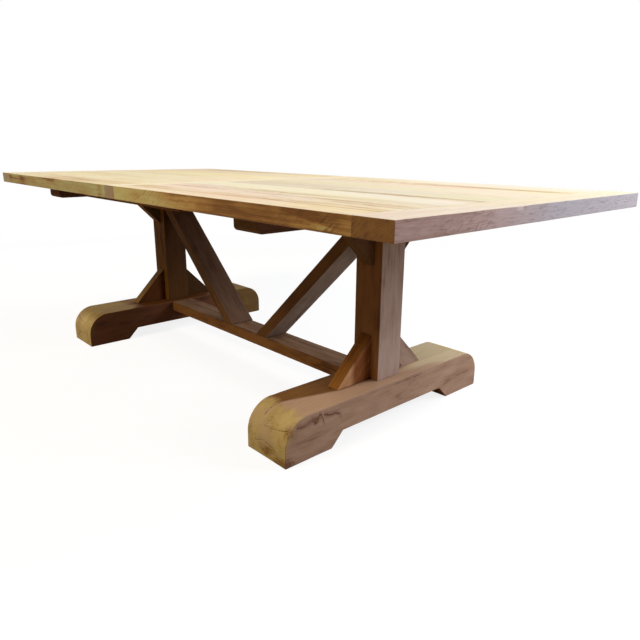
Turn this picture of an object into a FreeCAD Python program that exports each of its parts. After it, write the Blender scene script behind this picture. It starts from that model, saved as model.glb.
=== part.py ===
import FreeCAD, Part
import math
import os

# Trestle dining table in solid wood, modelled in millimetres.
# X runs along the table, Y across it, Z up. The origin lies on the floor under the middle of the top.

# Overall sizes
table_length = 2500.0
table_width = 1166.0
table_height = 760.0
top_thickness = 44.0

# Boards of the top
end_board_width = 110.0
centre_board_width = 74.0
plank_width_shares = (0.113, 0.100, 0.168, 0.176, 0.175, 0.155, 0.113)
seam_gap = 0.3
board_arris = 1.5
spline_thickness = 8.0
spline_width = 24.0

# Sawn stock. The bearers share its width and are planed thinner than the stretcher and the braces.
rail_width = 110.0
rail_thickness = 45.0
bearer_thickness = 43.0
rail_arris = 2.0

# Trestles. The setbacks are measured in from the end and the long edge of the top.
trestle_setback = 545.0
post_depth = 112.0
post_breadth = 110.0
post_arris = 2.0
foot_length = 956.0
foot_width = 184.0
foot_height = 146.0
foot_end_radius = 90.0
foot_pad_length = 185.0
foot_relief_height = 47.0
foot_relief_run = 47.0
foot_arris = 3.0
bearer_setback = 55.0
bearer_end_radius = 14.0
lower_gusset_leg = 155.0
upper_gusset_leg = 148.0
gusset_thickness = 45.0
gusset_arris = 1.5

# Stretcher and braces
stretcher_drop = 2.0
brace_half_gap = 84.0

# Cleats under the middle of the top
cleat_length = 740.0
cleat_width = 110.0
cleat_thickness = 18.0

# Mortises and tenons
tenon_thickness = 36.0
tenon_breadth = 70.0
foot_tenon_length = 60.0
bearer_tenon_length = 32.0
stretcher_tenon_thickness = 22.0
stretcher_tenon_breadth = 72.0
stretcher_tenon_length = 50.0
tenon_clearance = 0.2
mortise_bottom_gap = 0.5

# Dowels
board_dowel_radius = 6.0
board_dowel_length = 64.0
board_dowel_spread_shares = (0.25, 0.75)
gusset_dowel_radius = 5.0
gusset_dowel_length = 50.0
brace_dowel_radius = 6.0
brace_dowel_length = 44.0
brace_dowel_place_share = 0.6
dowel_side_clearance = 0.1
dowel_end_clearance = 0.5

# Screws and bolts
top_screw_radius = 3.0
top_screw_head_radius = 6.0
top_screw_head_height = 4.0
top_screw_bite_share = 0.65
cleat_screw_radius = 2.5
cleat_screw_head_radius = 5.0
cleat_screw_head_height = 3.0
cleat_screw_bite_share = 0.3
cleat_screw_edge = 24.0
cleat_row_shares = (0.2, 0.55, 0.9)
frame_bolt_radius = 5.0
frame_bolt_head_radius = 9.0
frame_bolt_head_height = 7.0
frame_bolt_counterbore = 12.0
foot_bolt_length = 82.0
bearer_bolt_length = 70.0
stretcher_bolt_cover = 12.0
screw_clearance = 0.15
head_recess = 1.0

# Length by which a cutting shape runs past the face that it opens
overrun = 1.0

# Values that follow from the sizes above
half_length = table_length / 2
half_width = table_width / 2
top_underside = table_height - top_thickness
trestle_x = half_length - trestle_setback
bearer_underside = top_underside - bearer_thickness
stretcher_top = foot_height - stretcher_drop
stretcher_middle = stretcher_top - rail_thickness / 2
foot_inner_x = trestle_x - foot_width / 2
post_inner_x = trestle_x - post_depth / 2
half_post = post_breadth / 2
half_bearer = half_width - bearer_setback
top_screw_length = bearer_thickness - head_recess + top_thickness * top_screw_bite_share
cleat_screw_length = cleat_thickness - head_recess + top_thickness * cleat_screw_bite_share

SIDES = (("right", 1), ("left", -1))
FACES = (("front", -1), ("back", 1))


def block(x0, x1, y0, y1, z0, z1):
    """Box between two values on each axis, given in either order."""
    low = FreeCAD.Vector(min(x0, x1), min(y0, y1), min(z0, z1))
    return Part.makeBox(abs(x1 - x0), abs(y1 - y0), abs(z1 - z0), low)


def rod(radius, start, direction, length):
    """Round bar from a start point along a direction."""
    return Part.makeCylinder(radius, length, FreeCAD.Vector(*start), FreeCAD.Vector(*direction))


def prism(points, sweep):
    """Flat outline through the points, swept along a vector."""
    corners = [FreeCAD.Vector(*point) for point in points]
    outline = Part.makePolygon(corners + corners[:1])
    return Part.Face(outline).extrude(FreeCAD.Vector(*sweep))


def edges_along(shape, axis):
    """Straight edges of a shape that run along one axis."""
    chosen = []
    for edge in shape.Edges:
        start = edge.Vertexes[0].Point
        end = edge.Vertexes[-1].Point
        run = end - start
        if run.Length > 0 and abs(abs(run[axis]) - run.Length) < run.Length / 1000:
            chosen.append(edge)
    return chosen


def eased_block(x0, x1, y0, y1, z0, z1, axis, arris):
    """Box whose four long edges along one axis are planed off at 45 degrees."""
    plain = block(x0, x1, y0, y1, z0, z1)
    return plain.makeChamfer(arris, edges_along(plain, axis))


def save(shape, name):
    shape.exportStep("parts/" + name + ".step")


def cut_all(shape, cutters):
    return shape.cut(Part.makeCompound(cutters)) if cutters else shape


def screw(head_radius, head_height, radius, start, direction, length):
    """Flat headed screw: its head starts at the start point and the shank runs on from it."""
    head = rod(head_radius, start, direction, head_height)
    shank = rod(radius, start, direction, length)
    return head.fuse(shank).removeSplitter()


def screw_room(head_radius, radius, entry, start, direction, head_height, length):
    """Space of a screw: a counterbore from the entry point down to the head, then the shank's hole."""
    towards = FreeCAD.Vector(*direction)
    depth = (FreeCAD.Vector(*start) - FreeCAD.Vector(*entry)).dot(towards)
    mouth = FreeCAD.Vector(*entry) - towards * overrun
    wide = Part.makeCylinder(head_radius + screw_clearance, depth + head_height + overrun, mouth, towards)
    narrow = Part.makeCylinder(radius + screw_clearance, length + dowel_end_clearance,
                               FreeCAD.Vector(*start), towards)
    return wide.fuse(narrow)


# Seams of the top

def plank_spans():
    """Near and far side of each plank, with half a seam taken off where two planks meet."""
    total = sum(plank_width_shares)
    spans = []
    reach = -half_width
    for number, share in enumerate(plank_width_shares):
        near = reach
        reach = near + table_width * share / total
        first = number == 0
        last = number == len(plank_width_shares) - 1
        spans.append((near + (0 if first else seam_gap / 2), reach - (0 if last else seam_gap / 2)))
    return spans


PLANKS = plank_spans()
field_inner_x = centre_board_width / 2 + seam_gap
field_outer_x = half_length - end_board_width - seam_gap
top_middle = table_height - top_thickness / 2


def dowel_places():
    """Places across the table of the two dowels in each plank end."""
    return [near + (far - near) * share for near, far in PLANKS for share in board_dowel_spread_shares]


def end_dowel_rods(side, extra_radius, extra_length):
    """Dowels between a field's planks and its end board, or their holes where the extras are above zero."""
    middle = side * (field_outer_x + seam_gap / 2)
    length = board_dowel_length + 2 * extra_length
    return [rod(board_dowel_radius + extra_radius, (middle - length / 2, y, top_middle), (1, 0, 0), length)
            for y in dowel_places()]


def centre_dowel_rods(extra_radius, extra_length):
    """Long dowels that run from one field through the centre board into the other."""
    reach = field_inner_x + board_dowel_length / 2 + extra_length
    return [rod(board_dowel_radius + extra_radius, (-reach, y, top_middle), (1, 0, 0), 2 * reach)
            for y in dowel_places()]


def end_dowel_holes(side):
    return end_dowel_rods(side, dowel_side_clearance, dowel_end_clearance)


def centre_dowel_holes():
    return centre_dowel_rods(dowel_side_clearance, dowel_end_clearance)


# Screws that hold the top to the bearers and the cleats

top_screw_start = bearer_underside + head_recess
cleat_underside = top_underside - cleat_thickness
cleat_screw_start = cleat_underside + head_recess
cleat_far_y = half_bearer
cleat_near_y = cleat_far_y - cleat_width
screw_offset = (gusset_thickness / 2 + rail_width / 2) / 2


def top_screw_rows():
    """Place across the table of each plank's screws, beside the post where the plank passes over it."""
    inset = bearer_end_radius + top_screw_head_radius
    kept_out = half_post + top_screw_head_radius + screw_clearance + overrun
    rows = []
    for near, far in PLANKS:
        low = max(near, -half_bearer + inset)
        high = min(far, half_bearer - inset)
        before = (low, min(high, -kept_out))
        after = (max(low, kept_out), high)
        best = max(before, after, key=lambda span: span[1] - span[0])
        rows.append((best[0] + best[1]) / 2)
    return rows


def top_screw_starts(side):
    return [(side * trestle_x + offset, y, top_screw_start)
            for y in top_screw_rows() for offset in (-screw_offset, screw_offset)]


def top_screw_rooms(side):
    return [screw_room(top_screw_head_radius, top_screw_radius, (x, y, bearer_underside), (x, y, z),
                       (0, 0, 1), top_screw_head_height, top_screw_length)
            for x, y, z in top_screw_starts(side)]


def cleat_screw_starts(face):
    """Screws in two rows along a cleat, in each field of planks."""
    starts = []
    for side in (-1, 1):
        for share in cleat_row_shares:
            x = side * (field_inner_x + (cleat_length / 2 - field_inner_x) * share)
            for y in (cleat_near_y + cleat_screw_edge, cleat_far_y - cleat_screw_edge):
                starts.append((x, face * y, cleat_screw_start))
    return starts


def cleat_screw_rooms(face):
    return [screw_room(cleat_screw_head_radius, cleat_screw_radius, (x, y, cleat_underside), (x, y, z),
                       (0, 0, 1), cleat_screw_head_height, cleat_screw_length)
            for x, y, z in cleat_screw_starts(face)]


# Top

def spline_groove(side, y):
    """Slot for the loose tongue between two planks."""
    half_slot = spline_thickness / 2 + tenon_clearance
    half_reach = spline_width / 2 + dowel_end_clearance
    return block(side * (field_inner_x - overrun), side * (field_outer_x + overrun),
                 y - half_reach, y + half_reach, top_middle - half_slot, top_middle + half_slot)


def seam_places():
    """Middle of each seam between two planks."""
    return [(PLANKS[number][1] + PLANKS[number + 1][0]) / 2 for number in range(len(PLANKS) - 1)]


def plank(side, number):
    near, far = PLANKS[number]
    board = eased_block(side * field_inner_x, side * field_outer_x, near, far,
                        top_underside, table_height, 0, board_arris)
    cutters = [spline_groove(side, y) for y in seam_places()]
    cutters += end_dowel_holes(side) + centre_dowel_holes()
    cutters += top_screw_rooms(side) + cleat_screw_rooms(-1) + cleat_screw_rooms(1)
    cutters = [cutter for cutter in cutters if cutter.BoundBox.intersect(board.BoundBox)]
    return cut_all(board, cutters)


def plank_splines(side):
    """Loose tongues in the seams of one field."""
    inner = side * (field_inner_x + dowel_end_clearance)
    outer = side * (field_outer_x - dowel_end_clearance)
    half = spline_thickness / 2
    return Part.makeCompound([block(inner, outer, y - spline_width / 2, y + spline_width / 2,
                                    top_middle - half, top_middle + half) for y in seam_places()])


def end_board(side):
    board = eased_block(side * (half_length - end_board_width), side * half_length, -half_width, half_width,
                        top_underside, table_height, 1, board_arris)
    return cut_all(board, end_dowel_holes(side))


def centre_board():
    half = centre_board_width / 2
    board = eased_block(-half, half, -half_width, half_width, top_underside, table_height, 1, board_arris)
    return cut_all(board, centre_dowel_holes())


def cleat(face):
    """Flat strip under the top that ties the two fields together across the centre board."""
    strip = eased_block(-cleat_length / 2, cleat_length / 2, face * cleat_near_y, face * cleat_far_y,
                        cleat_underside, top_underside, 0, board_arris)
    return cut_all(strip, cleat_screw_rooms(face))


def top_screws(side):
    return Part.makeCompound([screw(top_screw_head_radius, top_screw_head_height, top_screw_radius,
                                    start, (0, 0, 1), top_screw_length)
                              for start in top_screw_starts(side)])


def cleat_screws(face):
    return Part.makeCompound([screw(cleat_screw_head_radius, cleat_screw_head_height, cleat_screw_radius,
                                    start, (0, 0, 1), cleat_screw_length)
                              for start in cleat_screw_starts(face)])


# Trestles

def bearer(side):
    """Cross piece under the top, with its lower end corners rounded."""
    x0 = side * trestle_x - rail_width / 2
    x1 = x0 + rail_width
    plain = block(x0, x1, -half_bearer, half_bearer, bearer_underside, top_underside)
    ends = [edge for edge in edges_along(plain, 0) if edge.CenterOfMass.z < bearer_underside + overrun]
    shaped = plain.makeFillet(bearer_end_radius, ends)
    cutters = top_screw_rooms(side) + bearer_bolt_rooms(side)
    cutters += gusset_dowel_holes(side, False, True)
    cutters.append(mortise(side, bearer_underside - overrun,
                           bearer_underside + bearer_tenon_length + mortise_bottom_gap))
    return cut_all(shaped, cutters)


def mortise(side, z0, z1):
    half_x = tenon_thickness / 2 + tenon_clearance
    half_y = tenon_breadth / 2 + tenon_clearance
    x = side * trestle_x
    return block(x - half_x, x + half_x, -half_y, half_y, z0, z1)


def post(side):
    """Upright with a tenon at each end."""
    x = side * trestle_x
    body = eased_block(x - post_depth / 2, x + post_depth / 2, -half_post, half_post,
                       foot_height, bearer_underside, 2, post_arris)
    tenon = block(x - tenon_thickness / 2, x + tenon_thickness / 2, -tenon_breadth / 2, tenon_breadth / 2,
                  foot_height - foot_tenon_length, bearer_underside + bearer_tenon_length)
    cutters = foot_bolt_rooms(side) + bearer_bolt_rooms(side)
    cutters += gusset_dowel_holes(side, True, False) + gusset_dowel_holes(side, False, False)
    cutters += brace_head_holes(side)
    return cut_all(body.fuse(tenon).removeSplitter(), cutters)


def foot_outline(x):
    """Side view of a foot: quarter round upper ends and a flat arch with slanted ends below."""
    half = foot_length / 2
    round_z = foot_height - foot_end_radius
    round_y = half - foot_end_radius
    lean = foot_end_radius / math.sqrt(2)
    pad = half - foot_pad_length
    arch = pad - foot_relief_run

    def at(y, z):
        return FreeCAD.Vector(x, y, z)

    lines = [(at(-half, 0), at(-half, round_z)), (at(-round_y, foot_height), at(round_y, foot_height)),
             (at(half, round_z), at(half, 0)), (at(half, 0), at(pad, 0)),
             (at(pad, 0), at(arch, foot_relief_height)),
             (at(arch, foot_relief_height), at(-arch, foot_relief_height)),
             (at(-arch, foot_relief_height), at(-pad, 0)), (at(-pad, 0), at(-half, 0))]
    arcs = [Part.Arc(at(-half, round_z), at(-round_y - lean, round_z + lean), at(-round_y, foot_height)),
            Part.Arc(at(round_y, foot_height), at(round_y + lean, round_z + lean), at(half, round_z))]
    edges = [Part.makeLine(*ends) for ends in lines] + [arc.toShape() for arc in arcs]
    return Part.Wire(Part.__sortEdges__(edges))


def foot(side):
    x0 = side * trestle_x - foot_width / 2
    x1 = x0 + foot_width
    plain = Part.Face(foot_outline(x0)).extrude(FreeCAD.Vector(foot_width, 0, 0))
    rims = [edge for edge in plain.Edges
            if edge.BoundBox.XLength < overrun and edge.BoundBox.ZMax > foot_relief_height + overrun]
    shaped = plain.makeChamfer(foot_arris, rims)
    cutters = foot_bolt_rooms(side) + stretcher_bolt_rooms(side) + gusset_dowel_holes(side, True, True)
    cutters.append(mortise(side, foot_height - foot_tenon_length - mortise_bottom_gap, foot_height + overrun))
    cutters.append(stretcher_mortise(side))
    return cut_all(shaped, cutters)


# Gussets

def gusset(side, lower, face):
    """Triangular brace in the corner between the post and the foot or the bearer."""
    x0 = side * trestle_x - gusset_thickness / 2
    leg = lower_gusset_leg if lower else upper_gusset_leg
    corner_z = foot_height if lower else bearer_underside
    rise = 1 if lower else -1
    corner = (x0, face * half_post, corner_z)
    tip_out = (x0, face * (half_post + leg), corner_z)
    tip_up = (x0, face * half_post, corner_z + rise * leg)
    plain = prism((corner, tip_out, tip_up), (gusset_thickness, 0, 0))
    slant = [edge for edge in plain.Edges
             if edge.BoundBox.XLength < overrun and edge.BoundBox.YLength > overrun
             and edge.BoundBox.ZLength > overrun]
    shaped = plain.makeChamfer(gusset_arris, slant)
    cutters = gusset_dowel_holes(side, lower, True) + gusset_dowel_holes(side, lower, False)
    return cut_all(shaped, cutters)


def gusset_dowel_rods(side, lower, upright, extra_radius, extra_length):
    """Dowels that pin the gussets: upright ones to the foot or bearer, level ones to the post."""
    x = side * trestle_x
    rise = 1 if lower else -1
    base_z = foot_height if lower else bearer_underside
    depth = gusset_dowel_length / 2 + extra_length
    offset = (lower_gusset_leg if lower else upper_gusset_leg) / 2
    rods = []
    for face in (-1, 1):
        if upright:
            start = (x, face * (half_post + offset), base_z - depth)
            rods.append(rod(gusset_dowel_radius + extra_radius, start, (0, 0, 1), 2 * depth))
        else:
            start = (x, face * half_post - depth, base_z + rise * offset)
            rods.append(rod(gusset_dowel_radius + extra_radius, start, (0, 1, 0), 2 * depth))
    return rods


def gusset_dowel_holes(side, lower, upright):
    return gusset_dowel_rods(side, lower, upright, dowel_side_clearance, dowel_end_clearance)


def gusset_dowels(lower):
    rods = []
    for _, side in SIDES:
        rods += gusset_dowel_rods(side, lower, True, 0, 0) + gusset_dowel_rods(side, lower, False, 0, 0)
    return Part.makeCompound(rods)


# Bolts of the frame

def foot_bolt_starts(side):
    """Two bolts from under the arch of a foot into the tenon of its post."""
    y = tenon_breadth / 4
    return [(side * trestle_x, shift, foot_relief_height + frame_bolt_counterbore) for shift in (-y, y)]


def foot_bolt_rooms(side):
    return [screw_room(frame_bolt_head_radius, frame_bolt_radius, (x, y, foot_relief_height), (x, y, z),
                       (0, 0, 1), frame_bolt_head_height, foot_bolt_length)
            for x, y, z in foot_bolt_starts(side)]


def bearer_bolt_starts(side):
    """Two bolts from the upper face of a bearer down into the tenon of its post."""
    y = tenon_breadth / 4
    return [(side * trestle_x, shift, top_underside - head_recess) for shift in (-y, y)]


def bearer_bolt_rooms(side):
    return [screw_room(frame_bolt_head_radius, frame_bolt_radius, (x, y, top_underside), (x, y, z),
                       (0, 0, -1), frame_bolt_head_height, bearer_bolt_length)
            for x, y, z in bearer_bolt_starts(side)]


def stretcher_bolt_starts(side):
    """One bolt from under the foot up through the tenon of the stretcher."""
    x = side * (foot_inner_x + stretcher_tenon_length / 2)
    return [(x, 0, foot_relief_height + frame_bolt_counterbore)]


def stretcher_bolt_length():
    return foot_height - stretcher_bolt_cover - foot_relief_height - frame_bolt_counterbore


def stretcher_bolt_rooms(side):
    return [screw_room(frame_bolt_head_radius, frame_bolt_radius, (x, y, foot_relief_height), (x, y, z),
                       (0, 0, 1), frame_bolt_head_height, stretcher_bolt_length())
            for x, y, z in stretcher_bolt_starts(side)]


def frame_bolts(starts, direction, length):
    return Part.makeCompound([screw(frame_bolt_head_radius, frame_bolt_head_height, frame_bolt_radius,
                                    start, direction, length) for start in starts])


def both_sides(places):
    """Places of the right trestle followed by those of the left one."""
    return places(1) + places(-1)


# Stretcher

def stretcher_mortise(side):
    half_z = stretcher_tenon_thickness / 2 + tenon_clearance
    half_y = stretcher_tenon_breadth / 2 + tenon_clearance
    inner = side * (foot_inner_x - overrun)
    outer = side * (foot_inner_x + stretcher_tenon_length + mortise_bottom_gap)
    return block(inner, outer, -half_y, half_y, stretcher_middle - half_z, stretcher_middle + half_z)


def stretcher():
    """Flat rail between the feet, with a tenon at each end."""
    body = eased_block(-foot_inner_x, foot_inner_x, -rail_width / 2, rail_width / 2,
                       stretcher_top - rail_thickness, stretcher_top, 0, rail_arris)
    reach = foot_inner_x + stretcher_tenon_length
    tenon = block(-reach, reach, -stretcher_tenon_breadth / 2, stretcher_tenon_breadth / 2,
                  stretcher_middle - stretcher_tenon_thickness / 2,
                  stretcher_middle + stretcher_tenon_thickness / 2)
    cutters = both_sides(stretcher_bolt_rooms) + both_sides(brace_foot_holes)
    return cut_all(body.fuse(tenon).removeSplitter(), cutters)


# Braces

brace_run = post_inner_x - brace_half_gap
brace_rise = bearer_underside - stretcher_top
brace_angle = math.atan2(brace_rise, brace_run)
brace_head_cut = rail_thickness / math.cos(brace_angle)
brace_foot_cut = rail_thickness / math.sin(brace_angle)
brace_head_z = bearer_underside - brace_head_cut * brace_dowel_place_share
brace_foot_x = brace_half_gap + brace_foot_cut * brace_dowel_place_share
brace_dowel_y = rail_width / 4


def brace(side):
    """Slanted strut from the stretcher up to the corner between a post and its bearer."""
    near = -rail_width / 2
    outline = ((brace_half_gap, stretcher_top), (post_inner_x, bearer_underside),
               (post_inner_x, bearer_underside - brace_head_cut),
               (brace_half_gap + brace_foot_cut, stretcher_top))
    plain = prism([(side * x, near, z) for x, z in outline], (0, rail_width, 0))
    long_edges = [edge for edge in plain.Edges
                  if edge.BoundBox.XLength > overrun and edge.BoundBox.ZLength > brace_head_cut + overrun]
    shaped = plain.makeChamfer(rail_arris, long_edges)
    return cut_all(shaped, brace_head_holes(side) + brace_foot_holes(side))


def brace_head_rods(side, extra_radius, extra_length):
    """Level dowels from the head of a brace into its post."""
    depth = brace_dowel_length / 2 + extra_length
    return [rod(brace_dowel_radius + extra_radius, (side * post_inner_x - depth, y, brace_head_z),
                (1, 0, 0), 2 * depth) for y in (-brace_dowel_y, brace_dowel_y)]


def brace_foot_rods(side, extra_radius, extra_length):
    """Upright dowels from the foot of a brace into the stretcher."""
    depth = brace_dowel_length / 2 + extra_length
    return [rod(brace_dowel_radius + extra_radius, (side * brace_foot_x, y, stretcher_top - depth),
                (0, 0, 1), 2 * depth) for y in (-brace_dowel_y, brace_dowel_y)]


def brace_head_holes(side):
    return brace_head_rods(side, dowel_side_clearance, dowel_end_clearance)


def brace_foot_holes(side):
    return brace_foot_rods(side, dowel_side_clearance, dowel_end_clearance)


def save_top():
    save(centre_board(), "centre_board")
    save(Part.makeCompound(centre_dowel_rods(0, 0)), "centre_dowels")
    for name, side in SIDES:
        save(end_board(side), "end_board_" + name)
        save(Part.makeCompound(end_dowel_rods(side, 0, 0)), "end_dowels_" + name)
        save(plank_splines(side), "plank_splines_" + name)
        save(top_screws(side), "top_screws_" + name)
        for number in range(len(PLANKS)):
            save(plank(side, number), "plank_" + name + "_" + str(number + 1))
    for name, face in FACES:
        save(cleat(face), "cleat_" + name)
        save(cleat_screws(face), "cleat_screws_" + name)


def save_trestles():
    for name, side in SIDES:
        save(bearer(side), "bearer_" + name)
        save(post(side), "post_" + name)
        save(foot(side), "foot_" + name)
        for end, face in FACES:
            save(gusset(side, True, face), "lower_gusset_" + name + "_" + end)
            save(gusset(side, False, face), "upper_gusset_" + name + "_" + end)
    save(gusset_dowels(True), "lower_gusset_dowels")
    save(gusset_dowels(False), "upper_gusset_dowels")
    save(frame_bolts(both_sides(foot_bolt_starts), (0, 0, 1), foot_bolt_length), "foot_bolts")
    save(frame_bolts(both_sides(bearer_bolt_starts), (0, 0, -1), bearer_bolt_length), "bearer_bolts")


def save_stretcher_and_braces():
    save(stretcher(), "stretcher")
    save(frame_bolts(both_sides(stretcher_bolt_starts), (0, 0, 1), stretcher_bolt_length()),
         "stretcher_bolts")
    for name, side in SIDES:
        save(brace(side), "brace_" + name)
    heads = brace_head_rods(1, 0, 0) + brace_head_rods(-1, 0, 0)
    feet = brace_foot_rods(1, 0, 0) + brace_foot_rods(-1, 0, 0)
    save(Part.makeCompound(heads), "brace_head_dowels")
    save(Part.makeCompound(feet), "brace_foot_dowels")


os.makedirs("parts", exist_ok=True)
save_top()
save_trestles()
save_stretcher_and_braces()
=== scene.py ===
"""Looks of a trestle dining table in solid teak: shaped boards, wood and steel, light and camera."""

import math

import bpy
import numpy as np
from bpy.props import FloatProperty, FloatVectorProperty, PointerProperty
from mathutils import Matrix, Vector


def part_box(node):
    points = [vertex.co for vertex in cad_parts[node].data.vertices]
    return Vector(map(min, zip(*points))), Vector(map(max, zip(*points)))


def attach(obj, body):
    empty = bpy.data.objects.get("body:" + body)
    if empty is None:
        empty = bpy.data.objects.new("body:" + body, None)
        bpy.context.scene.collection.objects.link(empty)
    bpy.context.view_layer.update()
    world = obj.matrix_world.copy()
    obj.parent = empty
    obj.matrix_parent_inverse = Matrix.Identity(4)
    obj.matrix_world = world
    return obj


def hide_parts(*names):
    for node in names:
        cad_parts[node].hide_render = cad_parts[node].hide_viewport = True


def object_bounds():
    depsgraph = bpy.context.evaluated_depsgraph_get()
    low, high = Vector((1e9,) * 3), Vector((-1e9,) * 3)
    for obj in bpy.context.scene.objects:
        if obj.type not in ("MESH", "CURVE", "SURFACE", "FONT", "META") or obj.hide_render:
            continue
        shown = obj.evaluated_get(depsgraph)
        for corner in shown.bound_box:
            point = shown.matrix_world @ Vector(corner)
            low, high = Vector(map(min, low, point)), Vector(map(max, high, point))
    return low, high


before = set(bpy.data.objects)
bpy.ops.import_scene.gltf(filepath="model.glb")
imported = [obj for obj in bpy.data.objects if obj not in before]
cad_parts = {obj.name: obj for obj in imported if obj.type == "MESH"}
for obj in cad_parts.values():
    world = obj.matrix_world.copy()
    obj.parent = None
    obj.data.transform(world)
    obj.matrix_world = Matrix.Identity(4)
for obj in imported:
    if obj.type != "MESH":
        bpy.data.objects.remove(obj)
CAD_LOW, CAD_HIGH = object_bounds()

bl_info = {
    "name": "Trestle dining table",
    "version": (1, 0, 0),
    "blender": (4, 5, 0),
    "location": "3D View > Sidebar > Table",
    "description": "Dresses the packed dining table: teak boards, joints, steel fixings and a pale studio",
    "category": "Object",
}

# Directions of the table, along its length, across it and up, and the numbers of the axes
ALONG = Vector((1, 0, 0))
ACROSS = Vector((0, 1, 0))
UP = Vector((0, 0, 1))
X, Y, Z = 0, 1, 2

# Two axes of a board's section and the one along which it is carried
CARRIED_ALONG = (ACROSS, UP, ALONG)
CARRIED_ACROSS = (UP, ALONG, ACROSS)
CARRIED_UP = (ALONG, ACROSS, UP)

SIDES = (("right", 1), ("left", -1))
FACES = (("front", -1), ("back", 1))

# Steps of the meshes in metres: round the section and along the run
PLANK_STEPS = (0.012, 0.012)
CROSS_BOARD_STEPS = (0.006, 0.004)
BEARER_STEPS = (0.012, 0.011)
POST_STEPS = (0.009, 0.009)
GUSSET_STEPS = (0.008, 0.009)
STRETCHER_STEPS = (0.010, 0.012)
BRACE_STEPS = (0.010, 0.010)

# Pieces of each rounded corner, of each of a bearer's corners, and the short step beside a rounding in metres
ARC_STEPS = 4
BEARER_ARC_STEPS = (8, 8, 4, 4)
SUPPORT = 0.0004

# Wavelengths in metres of the worn arrises, their chips, the faces, the cracks' rims and the dents' rims
ARRIS_WAVE = 0.11
CHIP_WAVE = 0.021
FACE_WAVE = 0.16
CRACK_WAVE = 0.012
DENT_WAVE = 0.014

# Wear of some pieces beside the rails, ripple of the feet, and roundings of the ends beside the arrises
PLANK_WEAR = 0.5
CROSS_WEAR = 0.6
GUSSET_WEAR = 0.7
FOOT_WEAR = 1.3
FOOT_RIPPLE = 1.5
END_SHARE = 0.8
GUSSET_END_SHARE = 0.7

# Pockets of the fixings: sides of a pocket, play above a head, distance within which points are one head
POCKET_SIDES = 24
POCKET_PLAY = SUPPORT / 4
HEAD_REACH = 0.025


def linear(level):
    """One colour channel from 0 to 255 as the eye sees it, as a share of light."""
    share = level / 255
    return share / 12.92 if share <= 0.04045 else ((share + 0.055) / 1.055) ** 2.4


def length(name, text, value):
    return FloatProperty(name=name, description=text, default=value, min=0.0, precision=4, unit="LENGTH")


def angle(name, text, degrees):
    return FloatProperty(name=name, description=text, default=math.radians(degrees), subtype="ANGLE")


def power(name, text, watts):
    return FloatProperty(name=name, description=text, default=watts, min=0.0, subtype="POWER")


def colour(name, text, red, green, blue):
    shade = tuple(linear(level) for level in (red, green, blue))
    return FloatVectorProperty(name=name, description=text, default=shade, size=3, min=0.0, max=1.0,
                               subtype="COLOR")


class TableSizes(bpy.types.PropertyGroup):
    """Sizes of the edges, joints and marks of the timber. The boards' own sizes come from the frame."""

    board_arris: length("Board arris", "Rounding of the long edges of the top's boards", 0.0016)
    board_end: length("Board end", "Rounding of the ends of the top's boards", 0.0011)
    seam_arris: length("Seam arris", "Rounding of a plank's end where it meets a cross board", 0.0007)
    rail_arris: length("Rail arris", "Rounding of the bearers, braces and the stretcher", 0.0022)
    post_arris: length("Post arris", "Rounding of the upright edges of a post", 0.0022)
    butt_arris: length("Butt arris", "Rounding of an end that stands on another piece", 0.0006)
    foot_arris: length("Foot arris", "Rounding round the sides of a foot", 0.0036)
    foot_end_radius: length("Foot end radius", "Quarter round at the upper ends of a foot", 0.090)
    foot_pad_length: length("Foot pad", "Length of each pad of a foot on the floor", 0.185)
    foot_relief_height: length("Relief height", "Height of the flat arch under a foot", 0.047)
    foot_relief_run: length("Relief run", "Run of the slanted ends of the arch", 0.047)
    bearer_end_radius: length("Bearer end radius", "Rounding of a bearer's lower end corners", 0.014)
    gusset_arris: length("Gusset arris", "Rounding of the slanted edge of a gusset", 0.0020)
    rail_thickness: length("Rail thickness", "Thickness of the sawn rails", 0.045)
    wear: length("Edge wear", "How far the edges are worn down at most", 0.0007)
    ripple: length("Ripple", "Unevenness that the planer and the weather left on broad faces", 0.00025)
    check_width: length("Check width", "Width of the drying cracks in the end grain", 0.0011)
    check_depth: length("Check depth", "Depth of the drying cracks in the end grain", 0.0022)
    head_radius: length("Screw pocket", "Radius of the pockets of the top's screws", 0.00615)
    small_head_radius: length("Small screw pocket", "Radius of the pockets of the cleats' screws", 0.00515)
    bolt_radius: length("Bolt pocket", "Radius of the pockets of the frame's bolts", 0.00915)


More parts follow.
